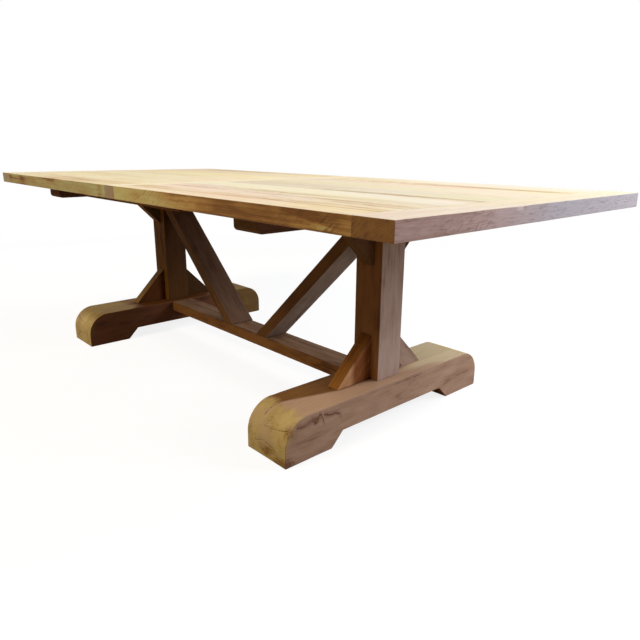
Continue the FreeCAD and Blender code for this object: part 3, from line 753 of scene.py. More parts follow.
def teak(name, grain, centre, pith, looks, seed, tone_and_shading_casts, tone=0.0, contrast=1.0, side=1, knot=None, patches=(),
         gradient=None, marks=(), veins=(), foot=None):
    """Teak as a solid pattern in the board's own frame: X runs along the grain, and the pith lies at an offset
    from the board's centre. Tone darkens the streaks and contrast strengthens them. Side tells which way is
    outwards along the table.

    Looks are sets of pale, tan and heart shades: of the upper faces, of those turned outwards and inwards
    along the table, and of the others. They are partly weathering and partly painted light and shade, the
    inward set being painted shade. The cast colours multiply the upper faces, those turned along the table,
    and the others; they are partly each board's own tone and partly painted light and shade. A knot is (place,
    radius). A patch is (place, reach, strength) of darker tone, or of paler tone where the strength is
    negative. A gradient is (axis, start, run, strength) of the tan tone on faces that don't look up; on the
    posts and a gusset it is painted shade, on the right end board partly painted glare. Marks and veins are as
    their own functions say. Foot is the far upper corner of a foot's box, for its golden ends and the painted
    light and shade of its upper face."""
    material, kit, place = new_material(name)
    tint = colours()
    turn = Vector(grain).rotation_difference(ALONG).to_matrix()
    shift = Vector((seed * 3.7, 0, 0)) - turn @ (Vector(centre) + Vector(pith))
    board = kit.mapping(place, turn.to_euler(), shift)
    swirl, core = knot_field(kit, place, *knot) if knot else (0.0, None)
    out = kit.add("ShaderNodeGroup", {"Place": board, "Swirl": swirl, "Ring": RING_WIDTH},
                  node_tree=figure_group()).outputs

    # Streaks of the upper face, and the brown tone of the others
    grain_end = kit.remap(kit.attribute("end_grain"), 0.6, 0.95)
    streak = kit.weigh((out["Streaks"], 0.50), (out["Lines"], 0.28), (out["Mottle"], 0.22))
    streak = kit.times(kit.remap(kit.plus(streak, tone), 0.40, 0.63), contrast)
    streak = kit.plus(streak, kit.times(out["Rings"], 0.16 * contrast), clamp=True)
    calm = kit.times(grain_end, 0.6)
    streak = kit.plus(kit.times(streak, kit.minus(1.0, calm)), kit.times(calm, 0.35))
    if patches:
        stain = stain_share(kit, place, out["Mottle"], patches)
        lined = kit.remap(out["Lines"], 0.35, 0.60, 0.45, 1.0)
        streak = kit.plus(streak, kit.times(stain, lined), clamp=True)
    brown = kit.weigh((kit.remap(out["Blotches"], 0.35, 0.68), 0.35),
                      (kit.remap(out["Mottle"], 0.35, 0.68), 0.25), (streak, 0.45), clamp=True)
    if gradient:
        axis, start, run, strength = gradient
        slope = kit.remap(kit.axis(place, axis), start, start + run)
        brown = kit.weigh((brown, 1 - strength), (slope, strength))
        brown = kit.plus(brown, kit.swing(streak, 0.30), clamp=True)
    if patches:
        brown = kit.plus(brown, stain, clamp=True)

    # Shades of the faces by facing: partly weathering, partly painted light and shade
    upper, outer, inner, others = (looks[key] for key in ("upper", "outer", "inner", "others"))
    above = wood_shade(kit, streak, upper)
    if "blush" in looks:
        yellow, pink = looks["blush"]
        above = kit.tint(above, yellow, kit.remap(out["Drift"], 0.50, 0.62))
        above = kit.tint(above, pink, kit.remap(out["Drift"], 0.50, 0.40))
    if foot:
        above = foot_upper(kit, place, above, out["Drift"], side)
    upper_tone_and_shade, end_tone_and_shade, other_tone_and_shade = (np.broadcast_to(cast, 3).tolist() for cast in tone_and_shading_casts)
    above = kit.tint(above, upper_tone_and_shade)
    below = kit.tint(wood_shade(kit, brown, others), other_tone_and_shade)
    outward = kit.tint(wood_shade(kit, brown, outer), end_tone_and_shade)
    inward = kit.tint(wood_shade(kit, brown, inner), end_tone_and_shade)
    turned_out = kit.times(kit.attribute("endways"), side)
    shade = kit.mix(kit.remap(kit.attribute("up"), 0.3, 0.9), below, above)
    shade = kit.mix(kit.remap(turned_out, 0.40, 0.85), shade, outward)
    shade = kit.mix(kit.remap(turned_out, -0.40, -0.85), shade, inward)
    if foot:
        shade = foot_gold(kit, place, shade, brown, turned_out, side, foot)
    shade = slanted_marks(kit, place, shade, out["Mottle"], marks, others[2])
    shade = dark_veins(kit, place, shade, turned_out, veins, outer[2], others[2])

    # Fibres, pores, growth rings on end grain, worn arrises, knot and cracks
    shade = kit.tint(shade, tint.fibre, kit.times(kit.remap(out["Fibres"], 0.40, 0.72), 0.35))
    shade = kit.mix(kit.times(out["Pores"], looks["pores"]), shade, tint.check)
    shade = kit.mix(kit.times(kit.times(grain_end, out["Rings"]), 0.15), shade, others[2])
    shade = kit.mix(kit.times(kit.attribute("arris"), 0.06), shade, upper[0])
    if core:
        shade = kit.mix(kit.times(core, 0.85), shade, tint.check)
    # Inside the cracks, the near-black is partly the dirt in them and partly painted shade of the narrow
    # groove.
    shade = kit.mix(kit.remap(kit.attribute("check"), 0.2, 0.9), shade, tint.check)
    shader = kit.add("ShaderNodeBsdfPrincipled", {
        "Base Color": shade, "Roughness": kit.remap(out["Fibres"], 0.3, 0.7, 0.62, 0.78),
        "Normal": kit.bump(out["Height"], BUMP_STRENGTH, BUMP_DEPTH), "IOR": 1.45,
        "Specular IOR Level": looks["sheen"]})
    kit.add("ShaderNodeOutputMaterial", {"Surface": shader.outputs[0]})
    return material


def top_looks():
    tint = colours()
    ends = (tint.end_mauve, tint.end_pink, tint.end_dark)
    return {"upper": (tint.top_pale, tint.top_tan, tint.top_heart), "outer": ends, "inner": ends,
            "others": (tint.edge_gold, tint.edge_brown, tint.edge_heart),
            "blush": (tint.top_yellow, tint.top_pink), "sheen": 0.35, "pores": 0.07}


def frame_looks(weathered_and_lit=True):
    """Shades of the frame by facing. The outward faces are grey, partly from weathering and partly as painted
    cool light; the inward faces, and the outward faces of pieces under the top, get dark brown painted shade.
    """
    tint = colours()
    inner = (tint.shadowed_inner_pale, tint.shadowed_inner_tan, tint.shadowed_inner_heart)
    outer = (tint.grey_pale, tint.grey_tan, tint.grey_heart)
    return {"upper": (tint.upper_pale, tint.upper_tan, tint.upper_heart),
            "outer": outer if weathered_and_lit else inner, "inner": inner,
            "others": (tint.frame_pale, tint.frame_tan, tint.frame_heart), "sheen": 0.16, "pores": 0.14}


# Cast colours of the upper faces, of those turned along the table and of the others, board by board: partly
# each board's own tone, partly painted light and shade where a face is lighter or darker by how light falls on
# it, as on the left foot's dark upper face
PLAIN_CASTS = (1.0, 1.0, 1.0)
BOARD_TONE_AND_SHADING_CASTS = {
    "plank_left_1": ((0.94, 0.96, 0.88), 1.0, (1.03, 1.26, 1.44)),
    "plank_left_2": ((1.02, 1.06, 1.08), 1.0, 1.0),
    "plank_left_3": ((1.02, 1.05, 1.03), 1.0, 1.0),
    "plank_left_4": ((1.06, 1.12, 1.13), 1.0, 1.0),
    "plank_left_5": ((1.06, 1.12, 1.00), 1.0, 1.0),
    "plank_left_7": ((0.97, 0.97, 0.96), 1.0, 1.0),
    "plank_right_1": ((1.03, 1.03, 1.08), 1.0, (1.24, 1.36, 1.31)),
    "plank_right_2": ((1.07, 1.13, 1.36), 1.0, 1.0),
    "plank_right_3": ((0.99, 1.06, 1.21), 1.0, 1.0),
    "plank_right_4": ((0.91, 0.97, 1.07), 1.0, 1.0),
    "plank_right_5": ((0.96, 1.0, 1.08), 1.0, 1.0),
    "plank_right_6": ((1.0, 1.02, 1.08), 1.0, 1.0),
    "plank_right_7": ((1.0, 1.04, 1.18), 1.0, 1.0),
    "centre_board": ((1.05, 1.09, 1.13), 1.0, (0.88, 0.94, 1.45)),
    "post_left": (1.0, (0.72, 0.66, 0.21), (0.89, 1.02, 0.40)),
    "post_right": (1.0, (0.92, 1.08, 1.38), (1.16, 1.37, 2.0)),
    "lower_gusset_left_front": ((0.72, 0.71, 0.58), (0.95, 0.69, 0.16), (1.20, 2.7, 2.1)),
    "lower_gusset_left_back": (0.80, (0.47, 0.47, 0.085), 0.75),
    "lower_gusset_right_front": ((1.04, 1.02, 0.61), (1.18, 1.12, 0.83), (1.40, 1.70, 1.12)),
    "lower_gusset_right_back": (1.0, (0.81, 0.93, 1.08), 1.0),
    "upper_gusset_left_front": (1.0, (0.97, 1.33, 0.47), 1.0),
    "upper_gusset_right_front": (1.0, (1.50, 1.75, 2.04), (0.48, 0.60, 0.65)),
    "brace_left": ((0.93, 1.15, 2.0), (0.93, 1.15, 2.0), (0.755, 0.95, 1.30)),
    "brace_right": (1.0, (0.87, 1.16, 1.53), (0.71, 0.80, 0.92)),
    "bearer_left": (1.0, (1.27, 1.22, 1.68), (0.64, 0.62, 0.48)),
    "bearer_right": (1.0, (1.73, 1.95, 3.1), (0.67, 0.86, 0.95)),
    "foot_left": ((0.46, 0.33, 0.08), (1.12, 1.03, 1.15), (1.05, 1.13, 1.65)),
    "foot_right": ((1.02, 1.06, 1.05), (0.935, 0.97, 1.02), (0.98, 0.98, 0.88)),
    "stretcher": ((0.79, 0.89, 1.36), 1.0, (1.04, 1.23, 1.48)),
    "end_board_right": ((0.95, 0.96, 1.10), (1.10, 1.06, 1.07), (0.91, 0.91, 0.70)),
    "end_board_left": ((1.03, 1.05, 1.08), 1.0, (1.01, 1.19, 1.74)),
}


def dress(board, node, grain, pith, looks, seed, slot="frame_teak", pockets=None, **features):
    """Makes a board's mesh, cuts the pockets of its fixings, gives it its teak with the features named there,
    sets it in place of its CAD node and lets it ride on the table."""
    item = board.build(node + "_wood", grain)
    if pockets:
        bore(item, *pockets)
    low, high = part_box(node)
    tone_and_shading_casts = BOARD_TONE_AND_SHADING_CASTS.get(node, PLAIN_CASTS)
    material = teak(node + "_teak", grain, (low + high) / 2, pith, looks, seed, tone_and_shading_casts, **features)
    item.data.materials.append(material)
    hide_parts(node)
    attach(item, "root")


# The top

def on_top(x, y, along, across, strength, down=1.0):
    """Patch of teak on the upper face of the top: its place, its reach each way, and its strength."""
    return (x, y, CAD_HIGH.z), (along, across, down), strength


def on_front(x, z, along, up, strength):
    """Patch of teak on the front edge of the top."""
    return (x, CAD_LOW.y, z), (along, 0.02, up), strength


# Each plank from the front: tone, contrast and patches
PLANK_TONES = {
    "right": (
        (0.01, 0.7, (on_top(1.00, -0.47, 0.45, 0.05, 0.40, 0.015),
                     on_top(0.50, -0.50, 0.30, 0.03, 0.25, 0.010),
                     on_top(0.12, -0.50, 0.20, 0.05, 0.35, 0.010),
                     on_front(0.98, 0.753, 0.050, 0.007, 0.5), on_front(1.03, 0.742, 0.030, 0.005, 0.4),
                     on_front(1.05, 0.726, 0.025, 0.005, -0.4), on_front(0.40, 0.750, 0.100, 0.020, 0.3),
                     on_front(0.20, 0.738, 0.080, 0.020, 0.3))),
        (0.01, 0.6, (on_top(0.90, -0.39, 0.60, 0.08, 0.55), on_top(0.25, -0.37, 0.25, 0.03, 0.30))),
        (-0.03, 0.5, (on_top(0.80, -0.31, 0.60, 0.04, 0.60), on_top(0.30, -0.32, 0.40, 0.03, 0.40),
                      on_top(0.50, -0.19, 0.80, 0.06, -0.50))),
        (-0.02, 0.5, (on_top(0.95, -0.12, 0.55, 0.026, 0.80), on_top(0.20, -0.03, 0.50, 0.08, 0.50))),
        (-0.03, 0.4, (on_top(0.30, 0.10, 0.50, 0.06, 0.30),)),
        (-0.02, 0.4, (on_top(0.25, 0.42, 0.35, 0.03, 0.80), on_top(0.85, 0.36, 0.45, 0.05, 1.00),
                      on_top(0.20, 0.33, 0.30, 0.05, 0.50))),
        (-0.06, 0.3, (on_top(0.15, 0.52, 0.25, 0.06, 0.60),)),
    ),
    "left": (
        (0.02, 0.7, (on_top(-1.05, -0.52, 0.25, 0.09, -0.60, 0.010),
                     on_top(-0.50, -0.52, 0.35, 0.05, 0.35, 0.010),
                     on_front(-0.95, 0.738, 0.08, 0.03, 0.30), on_front(-1.18, 0.750, 0.10, 0.03, 0.30),
                     on_front(-0.58, 0.752, 0.10, 0.015, 0.35), on_front(-0.08, 0.745, 0.02, 0.03, 0.35))),
        (0.00, 0.6, (on_top(-0.30, -0.40, 0.25, 0.05, 0.20),)),
        (-0.02, 0.5, (on_top(-0.85, -0.24, 0.30, 0.06, 0.40),)),
        (0.00, 0.5, (on_top(-0.60, 0.00, 0.40, 0.05, 0.40),)),
        (-0.03, 0.4, ()),
        (-0.02, 0.4, ()),
        (0.00, 0.6, (on_top(-0.80, 0.50, 0.50, 0.06, 0.50),)),
    ),
}

# Gradients and marks on the front edges of the front planks
FRONT_EDGES = {
    "right": {"gradient": (X, 0.25, 0.40, 0.84),
              "marks": ((X, 0.32, 0.26, 0.40), (X, 0.98, 0.22, 0.30), (X, 1.04, 0.08, 0.70))},
    "left": {"gradient": (X, -0.40, -0.60, 0.25)},
}

# A chip in the upper edge of the right end board: place across the table, reach each way and depth
CHIP_PLACE, CHIP_REACH, CHIP_DEPTH = -0.140, (0.006, 0.024, 0.005), 0.0035


def build_planks():
    size = sizes()
    for field, (name, side) in enumerate(SIDES, 1):
        for number, (tone, contrast, patches) in enumerate(PLANK_TONES[name]):
            node = "plank_" + name + "_" + str(number + 1)
            seed = 10 * field + number
            board = plain_board(*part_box(node), CARRIED_ALONG, size.board_arris, PLANK_STEPS, size.seam_arris)
            board.wear(size.wear * PLANK_WEAR, size.ripple, seed)
            draw = np.random.default_rng(seed)
            pith = Vector((0, float(draw.uniform(-0.05, 0.05)), float(draw.uniform(-0.16, -0.06))))
            edge = FRONT_EDGES[name] if number == 0 else {}
            dress(board, node, ALONG, pith, top_looks(), seed, "top_teak", tone=tone, contrast=contrast,
                  side=side, patches=patches, **edge)


def build_cross_boards():
    size = sizes()
    for seed, node in enumerate(("centre_board", "end_board_right", "end_board_left"), 40):
        low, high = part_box(node)
        board = plain_board(low, high, CARRIED_ACROSS, size.board_arris, CROSS_BOARD_STEPS, size.board_end)
        board.wear(size.wear * CROSS_WEAR, size.ripple, seed)
        edge = {}
        if node == "end_board_right":
            board.dent((CAD_HIGH.x, CHIP_PLACE, CAD_HIGH.z), CHIP_REACH, CHIP_DEPTH, seed)
            # Its gradient runs from pink at the front to a greyer, bluer mauve at the back: partly greyed
            # wood, partly painted bluish glare on the far end.
            edge = {"gradient": (Y, 0.18, -0.62, 0.85),
                    "marks": ((X, (low.x + high.x) / 2, 0.08, 0.7), (Y, -0.34, 0.14, 0.4))}
        dress(board, node, ACROSS, (0.02, 0, -0.07), top_looks(), seed, "top_teak", tone=-0.03, contrast=0.38,
              **edge)


# The frame

def screw_pockets(node, radius, low):
    """Places, radius and both levels of the pockets round the screws of a CAD node."""
    places, level = head_places(node)
    return places, radius, low.z - SUPPORT, level + POCKET_PLAY


def build_bearers():
    size = sizes()
    wide, small = size.bearer_end_radius, size.rail_arris
    for seed, (name, side) in enumerate(SIDES, 50):
        node = "bearer_" + name
        low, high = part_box(node)
        board = plain_board(low, high, CARRIED_ALONG, (wide, wide, small, small), BEARER_STEPS,
                            small * END_SHARE, BEARER_ARC_STEPS)
        board.wear(size.wear, size.ripple, seed)
        pockets = screw_pockets("top_screws_" + name, size.head_radius, low)
        # Under the top, the bearers' outward faces get the dark brown painted shade of the inward faces.
        dress(board, node, ACROSS, (0.03, 0, -0.09), frame_looks(False), seed, pockets=pockets, tone=0.03,
              side=side)


def build_cleats():
    size = sizes()
    for seed, (name, _) in enumerate(FACES, 54):
        node = "cleat_" + name
        low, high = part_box(node)
        board = plain_board(low, high, CARRIED_ALONG, size.board_arris, PLANK_STEPS, size.board_end)
        board.wear(size.wear * CROSS_WEAR, size.ripple, seed)
        pockets = screw_pockets("cleat_screws_" + name, size.small_head_radius, low)
        # Under the top, the cleats' outward faces get the dark brown painted shade too.
        dress(board, node, ALONG, (0, 0.02, 0.1), frame_looks(False), seed, pockets=pockets, tone=0.08)


def build_posts():
    """Posts between the top of the feet and the underside of the bearers."""
    size = sizes()
    foot_top, bearer_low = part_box("foot_right")[1].z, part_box("bearer_right")[0].z
    for seed, (name, side) in enumerate(SIDES, 60):
        node = "post_" + name
        low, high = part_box(node)
        low.z, high.z = foot_top, bearer_low
        post = plain_board(low, high, CARRIED_UP, size.post_arris, POST_STEPS, size.butt_arris)
        post.wear(size.wear, size.ripple, seed)
        # The gradient darkens the posts upwards: painted shade under the top.
        dress(post, node, UP, (-0.11, 0.02, 0), frame_looks(), seed, contrast=0.65, side=side,
              gradient=(Z, 0.18, 0.25, 0.35))


# Drying cracks in the front end of the right foot: along the table, across it and up, in metres. Both feet
# have them, mirrored, and their back ends have them again, mirrored and a little lower.
FOOT_CHECKS = (
    ((0.666, -0.461, 0.109), (0.667, -0.447, 0.124), (0.669, -0.429, 0.136), (0.675, -0.408, 0.144),
     (0.673, -0.384, 0.146), (0.677, -0.365, 0.146), (0.675, -0.339, 0.146)),
    ((0.676, -0.468, 0.097), (0.714, -0.468, 0.098), (0.746, -0.465, 0.103), (0.771, -0.462, 0.107),
     (0.792, -0.456, 0.115)),
    ((0.652, -0.477, 0.072), (0.655, -0.478, 0.041), (0.690, -0.478, 0.053), (0.720, -0.478, 0.049),
     (0.739, -0.478, 0.045), (0.755, -0.478, 0.031), (0.762, -0.478, 0.018)),
)
BACK_CHECKS_SCALE = (1, -1, 0.97)

# Wavy dark lines of a knot on the outward side of the right foot: across the table and up, in metres
FOOT_VEINS = (
    ((-0.437, 0.118), (-0.416, 0.115), (-0.399, 0.117), (-0.385, 0.120), (-0.375, 0.125), (-0.368, 0.114),
     (-0.359, 0.111), (-0.351, 0.121), (-0.346, 0.131), (-0.336, 0.119), (-0.330, 0.106), (-0.324, 0.088)),
    ((-0.331, 0.126), (-0.315, 0.122), (-0.300, 0.118), (-0.279, 0.116), (-0.263, 0.108), (-0.254, 0.093)),
)

# Darker patches on the right foot, two of them low on its front end: place, reach and strength
FOOT_DARK_PATCHES = (
    ((0.797, -0.360, 0.120), (0.03, 0.022, 0.012), 0.4),
    ((0.790, -0.478, 0.010), (0.04, 0.03, 0.02), 0.5),
    ((0.700, -0.478, 0.025), (0.04, 0.03, 0.02), 0.3),
    ((0.790, -0.455, 0.105), (0.015, 0.03, 0.03), 0.4),
)

# Mesh of a foot's side view: steps of each arc and of the run after it, and the step across the foot
FOOT_ARC_STEPS = (4, 3, 3, 3, 3, 4, 70, 70)
FOOT_RUN_STEPS = (0.010, 0.010, 0.012, 0.010, 0.010, 0.0021, 0.009, 0.0021)
FOOT_STEP = 0.0021
ARCH_RADIUS = 0.002
BOLT_POCKET_START = 0.004


def foot_shape(low, high):
    """Side view of a foot: quarter round upper ends and a flat arch with slanted ends below."""
    size = sizes()
    pad = size.foot_pad_length
    arch = pad + size.foot_relief_run
    top = low.z + size.foot_relief_height
    corners = ((low.y, low.z), (low.y + pad, low.z), (low.y + arch, top), (high.y - arch, top),
               (high.y - pad, low.z), (high.y, low.z), (high.y, high.z), (low.y, high.z))
    small, wide = size.foot_arris, size.foot_end_radius
    radii = (small, small, ARCH_RADIUS, ARCH_RADIUS, small, small, wide, wide)
    return outline(corners, radii, FOOT_RUN_STEPS, FOOT_ARC_STEPS)


def build_feet():
    size = sizes()
    bolts, level = head_places("foot_bolts")
    bolts += head_places("stretcher_bolts")[0]
    for seed, (name, side) in enumerate(SIDES, 64):
        node = "foot_" + name
        low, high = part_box(node)
        foot = Timber(foot_shape(low, high), spaced(low.x, high.x, FOOT_STEP), size.foot_arris * END_SHARE,
                      CARRIED_ALONG)
        foot.wear(size.wear * FOOT_WEAR, size.ripple * FOOT_RIPPLE, seed)
        for route in FOOT_CHECKS:
            route = np.array(route) * (side, 1, 1)
            foot.crack(route, size.check_width, size.check_depth)
            foot.crack(route * BACK_CHECKS_SCALE, size.check_width, size.check_depth)
        own = [place for place in bolts if low.x < place[0] < high.x]
        arch = low.z + size.foot_relief_height
        pockets = (own, size.bolt_radius, arch - BOLT_POCKET_START, level + POCKET_PLAY)
        marks = {}
        if side > 0:
            marks = {"veins": FOOT_VEINS, "marks": ((Y, 0.13, 0.10, 0.35),), "patches": FOOT_DARK_PATCHES}
        dress(foot, node, ACROSS, (0.03, 0, -0.02), frame_looks(), seed, pockets=pockets, contrast=0.8,
              side=side, foot=high, **marks)


def build_gussets():
    """Triangles carried along the table. The grain runs along the slanted edge."""
    size = sizes()
    kinds = [(name, side, end, face, level) for name, side in SIDES for end, face in FACES
             for level in ("lower", "upper")]
    for seed, (name, side, end, face, level) in enumerate(kinds, 71):
        node = level + "_gusset_" + name + "_" + end
        low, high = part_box(node)
        inner, outer = (low.y, high.y) if face > 0 else (high.y, low.y)
        root, tip = (low.z, high.z) if level == "lower" else (high.z, low.z)
        shape = outline(((inner, root), (outer, root), (inner, tip)), size.gusset_arris, GUSSET_STEPS[0])
        board = Timber(shape, spaced(low.x, high.x, GUSSET_STEPS[1]), size.gusset_arris * GUSSET_END_SHARE,
                       CARRIED_ALONG)
        board.wear(size.wear * GUSSET_WEAR, size.ripple, seed)
        grain = Vector((0, outer - inner, root - tip)).normalized()
        # The upper gussets, under the top, get dark brown painted shade on their outward faces; the lower ones
        # get the grey outward look.
        looks = frame_looks(level == "lower")
        looks["upper"] = looks["others"]
        marks = {}
        if node == "lower_gusset_right_back":
            marks["knot"] = ((high.x, 0.101, root + 0.008), 0.0055)
        # On its outward face, the part beside the post turns tan as the post's painted shadow, and the pale
        # tip beyond it is the lit part.
        if node == "lower_gusset_right_front":
            looks["outer"] = (colours().gusset_lit_tip, colours().frame_tan, colours().frame_tan)
            marks["gradient"] = (Y, -0.155, 0.03, 0.85)
        dress(board, node, grain, (0.05, 0.03, 0.06), looks, seed, contrast=0.8, side=side, **marks)


def build_stretcher():
    """Rail between the feet, with its tenons' width and height as shares of its own."""
    size = sizes()
    seed, tenon_shares = 80, (0.65, 0.49)
    node = "stretcher"
    low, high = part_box(node)
    centre = (low + high) / 2
    half = (high - low) / 2
    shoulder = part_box("foot_right")[0].x
    shape = rectangle(-half, half, CARRIED_ALONG, size.rail_arris, STRETCHER_STEPS[0])
    rail = Timber(shape, spaced(-shoulder, shoulder, STRETCHER_STEPS[1]), size.butt_arris, CARRIED_ALONG,
                  tenon=(half.x - shoulder, tenon_shares))
    rail.points += np.array((0, centre.y, centre.z))
    rail.wear(size.wear, size.ripple, seed)
    dress(rail, node, ALONG, (0, 0.04, -0.08), frame_looks(), seed, tone=0.02, contrast=0.9)


def build_braces():
    """Slanted rails: a parallelogram cut level at the foot and upright at the head, carried across."""
    size = sizes()
    for seed, (name, side) in enumerate(SIDES, 84):
        node = "brace_" + name
        low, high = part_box(node)
        near, far = (low.x, high.x) if side > 0 else (high.x, low.x)
        run, rise = abs(far - near), high.z - low.z
        slope = math.atan2(rise, run)
        head = size.rail_thickness / math.cos(slope)
        heel = size.rail_thickness / math.sin(slope)
        corners = ((low.z, near), (high.z, far), (high.z - head, far), (low.z, near + side * heel))
        shape = outline(corners, size.rail_arris, BRACE_STEPS[0])
        board = Timber(shape, spaced(low.y, high.y, BRACE_STEPS[1]), size.rail_arris * END_SHARE,
                       CARRIED_ACROSS)
        board.wear(size.wear, size.ripple, seed)
        grain = Vector((far - near, 0, rise)).normalized()
        dress(board, node, grain, (0.03, 0.02, -0.08), frame_looks(), seed, tone=0.02, contrast=0.8,
              side=side)


# Joinery and fixings, which keep their CAD meshes

def flecked(name, pale, dark, waves, fade, gloss, bump, metallic):
    """Two shades blended by a noise of so many waves a metre along X and across it. Fade gives where the
    noise turns from the one to the other, gloss its range and the roughness there, and bump its strength
    and depth."""
    material, kit, place = new_material(name)
    flecks = kit.noise(kit.stretch(place, *waves), 1.0, 3.0)
    shader = kit.add("ShaderNodeBsdfPrincipled", {
        "Base Color": kit.mix(kit.remap(flecks, *fade), pale, dark), "Normal": kit.bump(flecks, *bump),
        "Roughness": kit.remap(flecks, *gloss), "Metallic": metallic})
    kit.add("ShaderNodeOutputMaterial", {"Surface": shader.outputs[0]})
    return material


def paint_hardware():
    tint = colours()
    wood = flecked("dowel_wood", tint.dowel, tint.frame_tan, (60.0, 400.0), (0.3, 0.7), (0.2, 0.8, 0.5, 0.7),
                   (0.3, 0.0003), 0.0)
    steel = flecked("fixing_steel", tint.steel, tint.frame_heart, (300.0, 300.0), (0.4, 0.7),
                    (0.3, 0.7, 0.3, 0.5), (0.2, 0.0002), 1.0)
    for node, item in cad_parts.items():
        inner = "dowels" in node or "splines" in node
        metal = "screws" in node or "bolts" in node
        if inner or metal:
            item.data.materials.clear()
            item.data.materials.append(steel if metal else wood)


# Stage

def lamp(name, place, aim, watts, width, tint):
    data = bpy.data.lights.new(name, "AREA")
    data.shape = "SQUARE"
    data.size = width
    data.energy = watts
    data.color = tint
    item = add_object(name, data)
    item.location = place
    item.rotation_mode = "QUATERNION"
    item.rotation_quaternion = (Vector(aim) - Vector(place)).to_track_quat("-Z", "Y")


def build_floor(reach=40.0):
    """Flat floor that fades into the white background. The camera sees it pale, with the table's shadow."""
    mesh = bpy.data.meshes.new("floor")
    mesh.from_pydata([(-reach, -reach, 0), (reach, -reach, 0), (reach, reach, 0), (-reach, reach, 0)], [],
                     [(0, 1, 2, 3)])
    item = add_object("floor", mesh)
    material, kit, place = new_material("floor")
    near = kit.remap(kit.vector("LENGTH", place), 1.2, 4.5, 1.0, 0.0)
    level = kit.times(near, 0.22)
    tone = kit.add("ShaderNodeCombineColor", {0: level, 1: level, 2: level}).outputs[0]
    plain = kit.add("ShaderNodeBsdfDiffuse", {"Color": tone}).outputs[0]
    glow = kit.add("ShaderNodeEmission", {"Color": solid(stage_settings().floor),
                                          "Strength": kit.minus(1.0, kit.times(near, 0.16))}).outputs[0]
    seen = kit.add("ShaderNodeAddShader", {0: plain, 1: glow}).outputs[0]
    bounce = kit.add("ShaderNodeBsdfDiffuse", {"Color": solid(stage_settings().floor_bounce)}).outputs[0]
    direct = kit.add("ShaderNodeLightPath").outputs["Is Camera Ray"]
    shader = kit.add("ShaderNodeMixShader", {0: direct, 1: bounce, 2: seen}).outputs[0]
    kit.add("ShaderNodeOutputMaterial", {"Surface": shader})
    mesh.materials.append(material)


def build_world():
    """Even light from all round, which the camera, metal and gloss see as white."""
    world = bpy.data.worlds.new("studio")
    world.use_nodes = True
    world.node_tree.nodes.clear()
    kit = Nodes(world.node_tree)
    path = kit.add("ShaderNodeLightPath").outputs
    direct = kit.math("MAXIMUM", path["Is Glossy Ray"], path["Is Transmission Ray"])
    direct = kit.math("MAXIMUM", path["Is Camera Ray"], direct)
    room, white = (kit.add("ShaderNodeBackground", {"Color": (1, 1, 1, 1), "Strength": strength}).outputs[0]
                   for strength in (stage_settings().room, 1.0))
    shader = kit.add("ShaderNodeMixShader", {0: direct, 1: room, 2: white}).outputs[0]
    kit.add("ShaderNodeOutputWorld", {"Surface": shader})
    bpy.context.scene.world = world


def build_camera():
    setting = stage_settings()
    data = bpy.data.cameras.new("camera")
    data.sensor_width = 36.0
    data.lens = setting.lens
    data.clip_start = 0.05
    data.clip_end = 200.0
    item = add_object("camera", data)
    turn = (Matrix.Rotation(setting.yaw, 4, "Z") @ Matrix.Rotation(setting.tilt, 4, "X")
            @ Matrix.Rotation(setting.roll, 4, "Z"))
    item.matrix_world = Matrix.Translation(setting.eye) @ turn
    bpy.context.scene.camera = item


def build_stage():
    setting = stage_settings()
    build_camera()
    build_floor()
    build_world()
    lamp("back_lamp", (0.5, 3.0, 3.4), (0.0, 0.2, 0.5), setting.key, 2.2, (0.97, 0.98, 1.0))
    lamp("end_lamp", (2.7, 2.5, 1.9), (0.8, 0, 0.3), setting.end_fill, 2.0, (0.90, 0.94, 1.0))
    lamp("far_lamp", (-3.6, 0.3, 0.45), (-1.0, 0, 0.5), setting.far_fill, 1.6, (1.0, 0.98, 0.95))
    lamp("side_lamp", (-0.2, -3.6, 4.3), (0, 0, 0.4), setting.side_fill, 2.2, (1.0, 0.93, 0.78))
    bpy.context.scene.view_settings.view_transform = "Standard"


# Operators and panel

class TABLE_OT_stage(bpy.types.Operator):
    """Sets the camera, the pale floor, the white room and the lamps"""

    bl_idname = "table.stage"
    bl_label = "Stage"

    def execute(self, context):
        build_stage()
        return {"FINISHED"}


class TABLE_OT_planks(bpy.types.Operator):
    """Makes the fourteen lengthwise planks of the top"""

    bl_idname = "table.planks"
    bl_label = "Planks"

    def execute(self, context):
        build_planks()
        return {"FINISHED"}


class TABLE_OT_cross_boards(bpy.types.Operator):
    """Makes the centre board and both end boards of the top"""

    bl_idname = "table.cross_boards"
    bl_label = "Cross boards"

    def execute(self, context):
        build_cross_boards()
        return {"FINISHED"}


class TABLE_OT_bearers(bpy.types.Operator):
    """Makes the cross pieces under the top"""

    bl_idname = "table.bearers"
    bl_label = "Bearers"

    def execute(self, context):
        build_bearers()
        return {"FINISHED"}


class TABLE_OT_cleats(bpy.types.Operator):
    """Makes the flat strips under the middle of the top"""

    bl_idname = "table.cleats"
    bl_label = "Cleats"

    def execute(self, context):
        build_cleats()
        return {"FINISHED"}


class TABLE_OT_posts(bpy.types.Operator):
    """Makes the uprights of the trestles"""

    bl_idname = "table.posts"
    bl_label = "Posts"

    def execute(self, context):
        build_posts()
        return {"FINISHED"}


class TABLE_OT_feet(bpy.types.Operator):
    """Makes the feet, with their rounded ends and drying cracks"""

    bl_idname = "table.feet"
    bl_label = "Feet"

    def execute(self, context):
        build_feet()
        return {"FINISHED"}


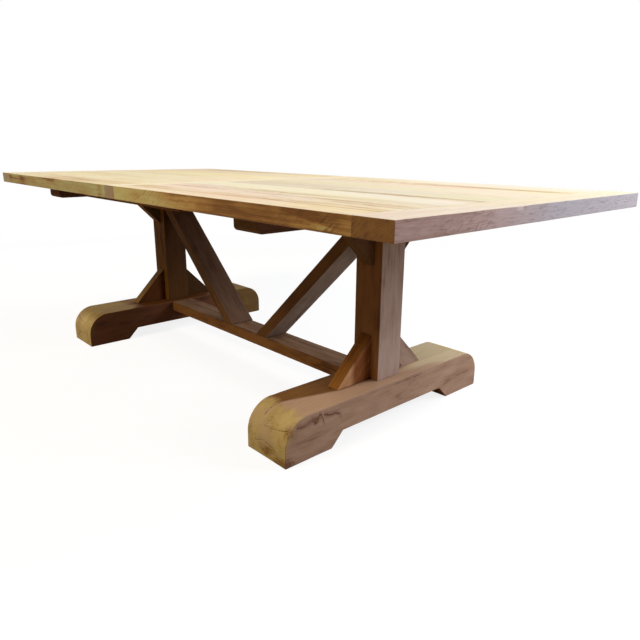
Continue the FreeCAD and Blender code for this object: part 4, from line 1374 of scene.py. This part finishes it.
class TABLE_OT_gussets(bpy.types.Operator):
    """Makes the eight triangular gussets"""

    bl_idname = "table.gussets"
    bl_label = "Gussets"

    def execute(self, context):
        build_gussets()
        return {"FINISHED"}


class TABLE_OT_stretcher(bpy.types.Operator):
    """Makes the rail between the feet"""

    bl_idname = "table.stretcher"
    bl_label = "Stretcher"

    def execute(self, context):
        build_stretcher()
        return {"FINISHED"}


class TABLE_OT_braces(bpy.types.Operator):
    """Makes the slanted braces"""

    bl_idname = "table.braces"
    bl_label = "Braces"

    def execute(self, context):
        build_braces()
        return {"FINISHED"}


class TABLE_OT_hardware(bpy.types.Operator):
    """Paints the dowels, tongues, screws and bolts"""

    bl_idname = "table.hardware"
    bl_label = "Joinery and fixings"

    def execute(self, context):
        paint_hardware()
        return {"FINISHED"}


OPERATORS = (TABLE_OT_stage, TABLE_OT_planks, TABLE_OT_cross_boards, TABLE_OT_bearers,
             TABLE_OT_cleats, TABLE_OT_posts, TABLE_OT_feet, TABLE_OT_gussets,
             TABLE_OT_stretcher, TABLE_OT_braces, TABLE_OT_hardware)
GROUPS = {"table_sizes": TableSizes, "table_colours": TableColours, "stage_settings": StageSettings}


class TABLE_PT_sidebar(bpy.types.Panel):
    """Lists the steps that make the table, and its sizes and colours."""

    bl_label = "Trestle table"
    bl_idname = "TABLE_PT_sidebar"
    bl_space_type = "VIEW_3D"
    bl_region_type = "UI"
    bl_category = "Table"

    def draw(self, context):
        for step in OPERATORS:
            self.layout.operator(step.bl_idname)
        for group in GROUPS:
            settings = getattr(context.scene, group)
            for name in settings.bl_rna.properties.keys():
                if name not in ("rna_type", "name"):
                    self.layout.prop(settings, name)


CLASSES = (*GROUPS.values(), *OPERATORS, TABLE_PT_sidebar)


def register():
    for kind in CLASSES:
        bpy.utils.register_class(kind)
    for name, group in GROUPS.items():
        setattr(bpy.types.Scene, name, PointerProperty(type=group))


def unregister():
    for name in GROUPS:
        delattr(bpy.types.Scene, name)
    for kind in reversed(CLASSES):
        bpy.utils.unregister_class(kind)


def main():
    register()
    for step in OPERATORS:
        group, name = step.bl_idname.split(".")
        getattr(getattr(bpy.ops, group), name)()


if __name__ == "__main__":
    main()
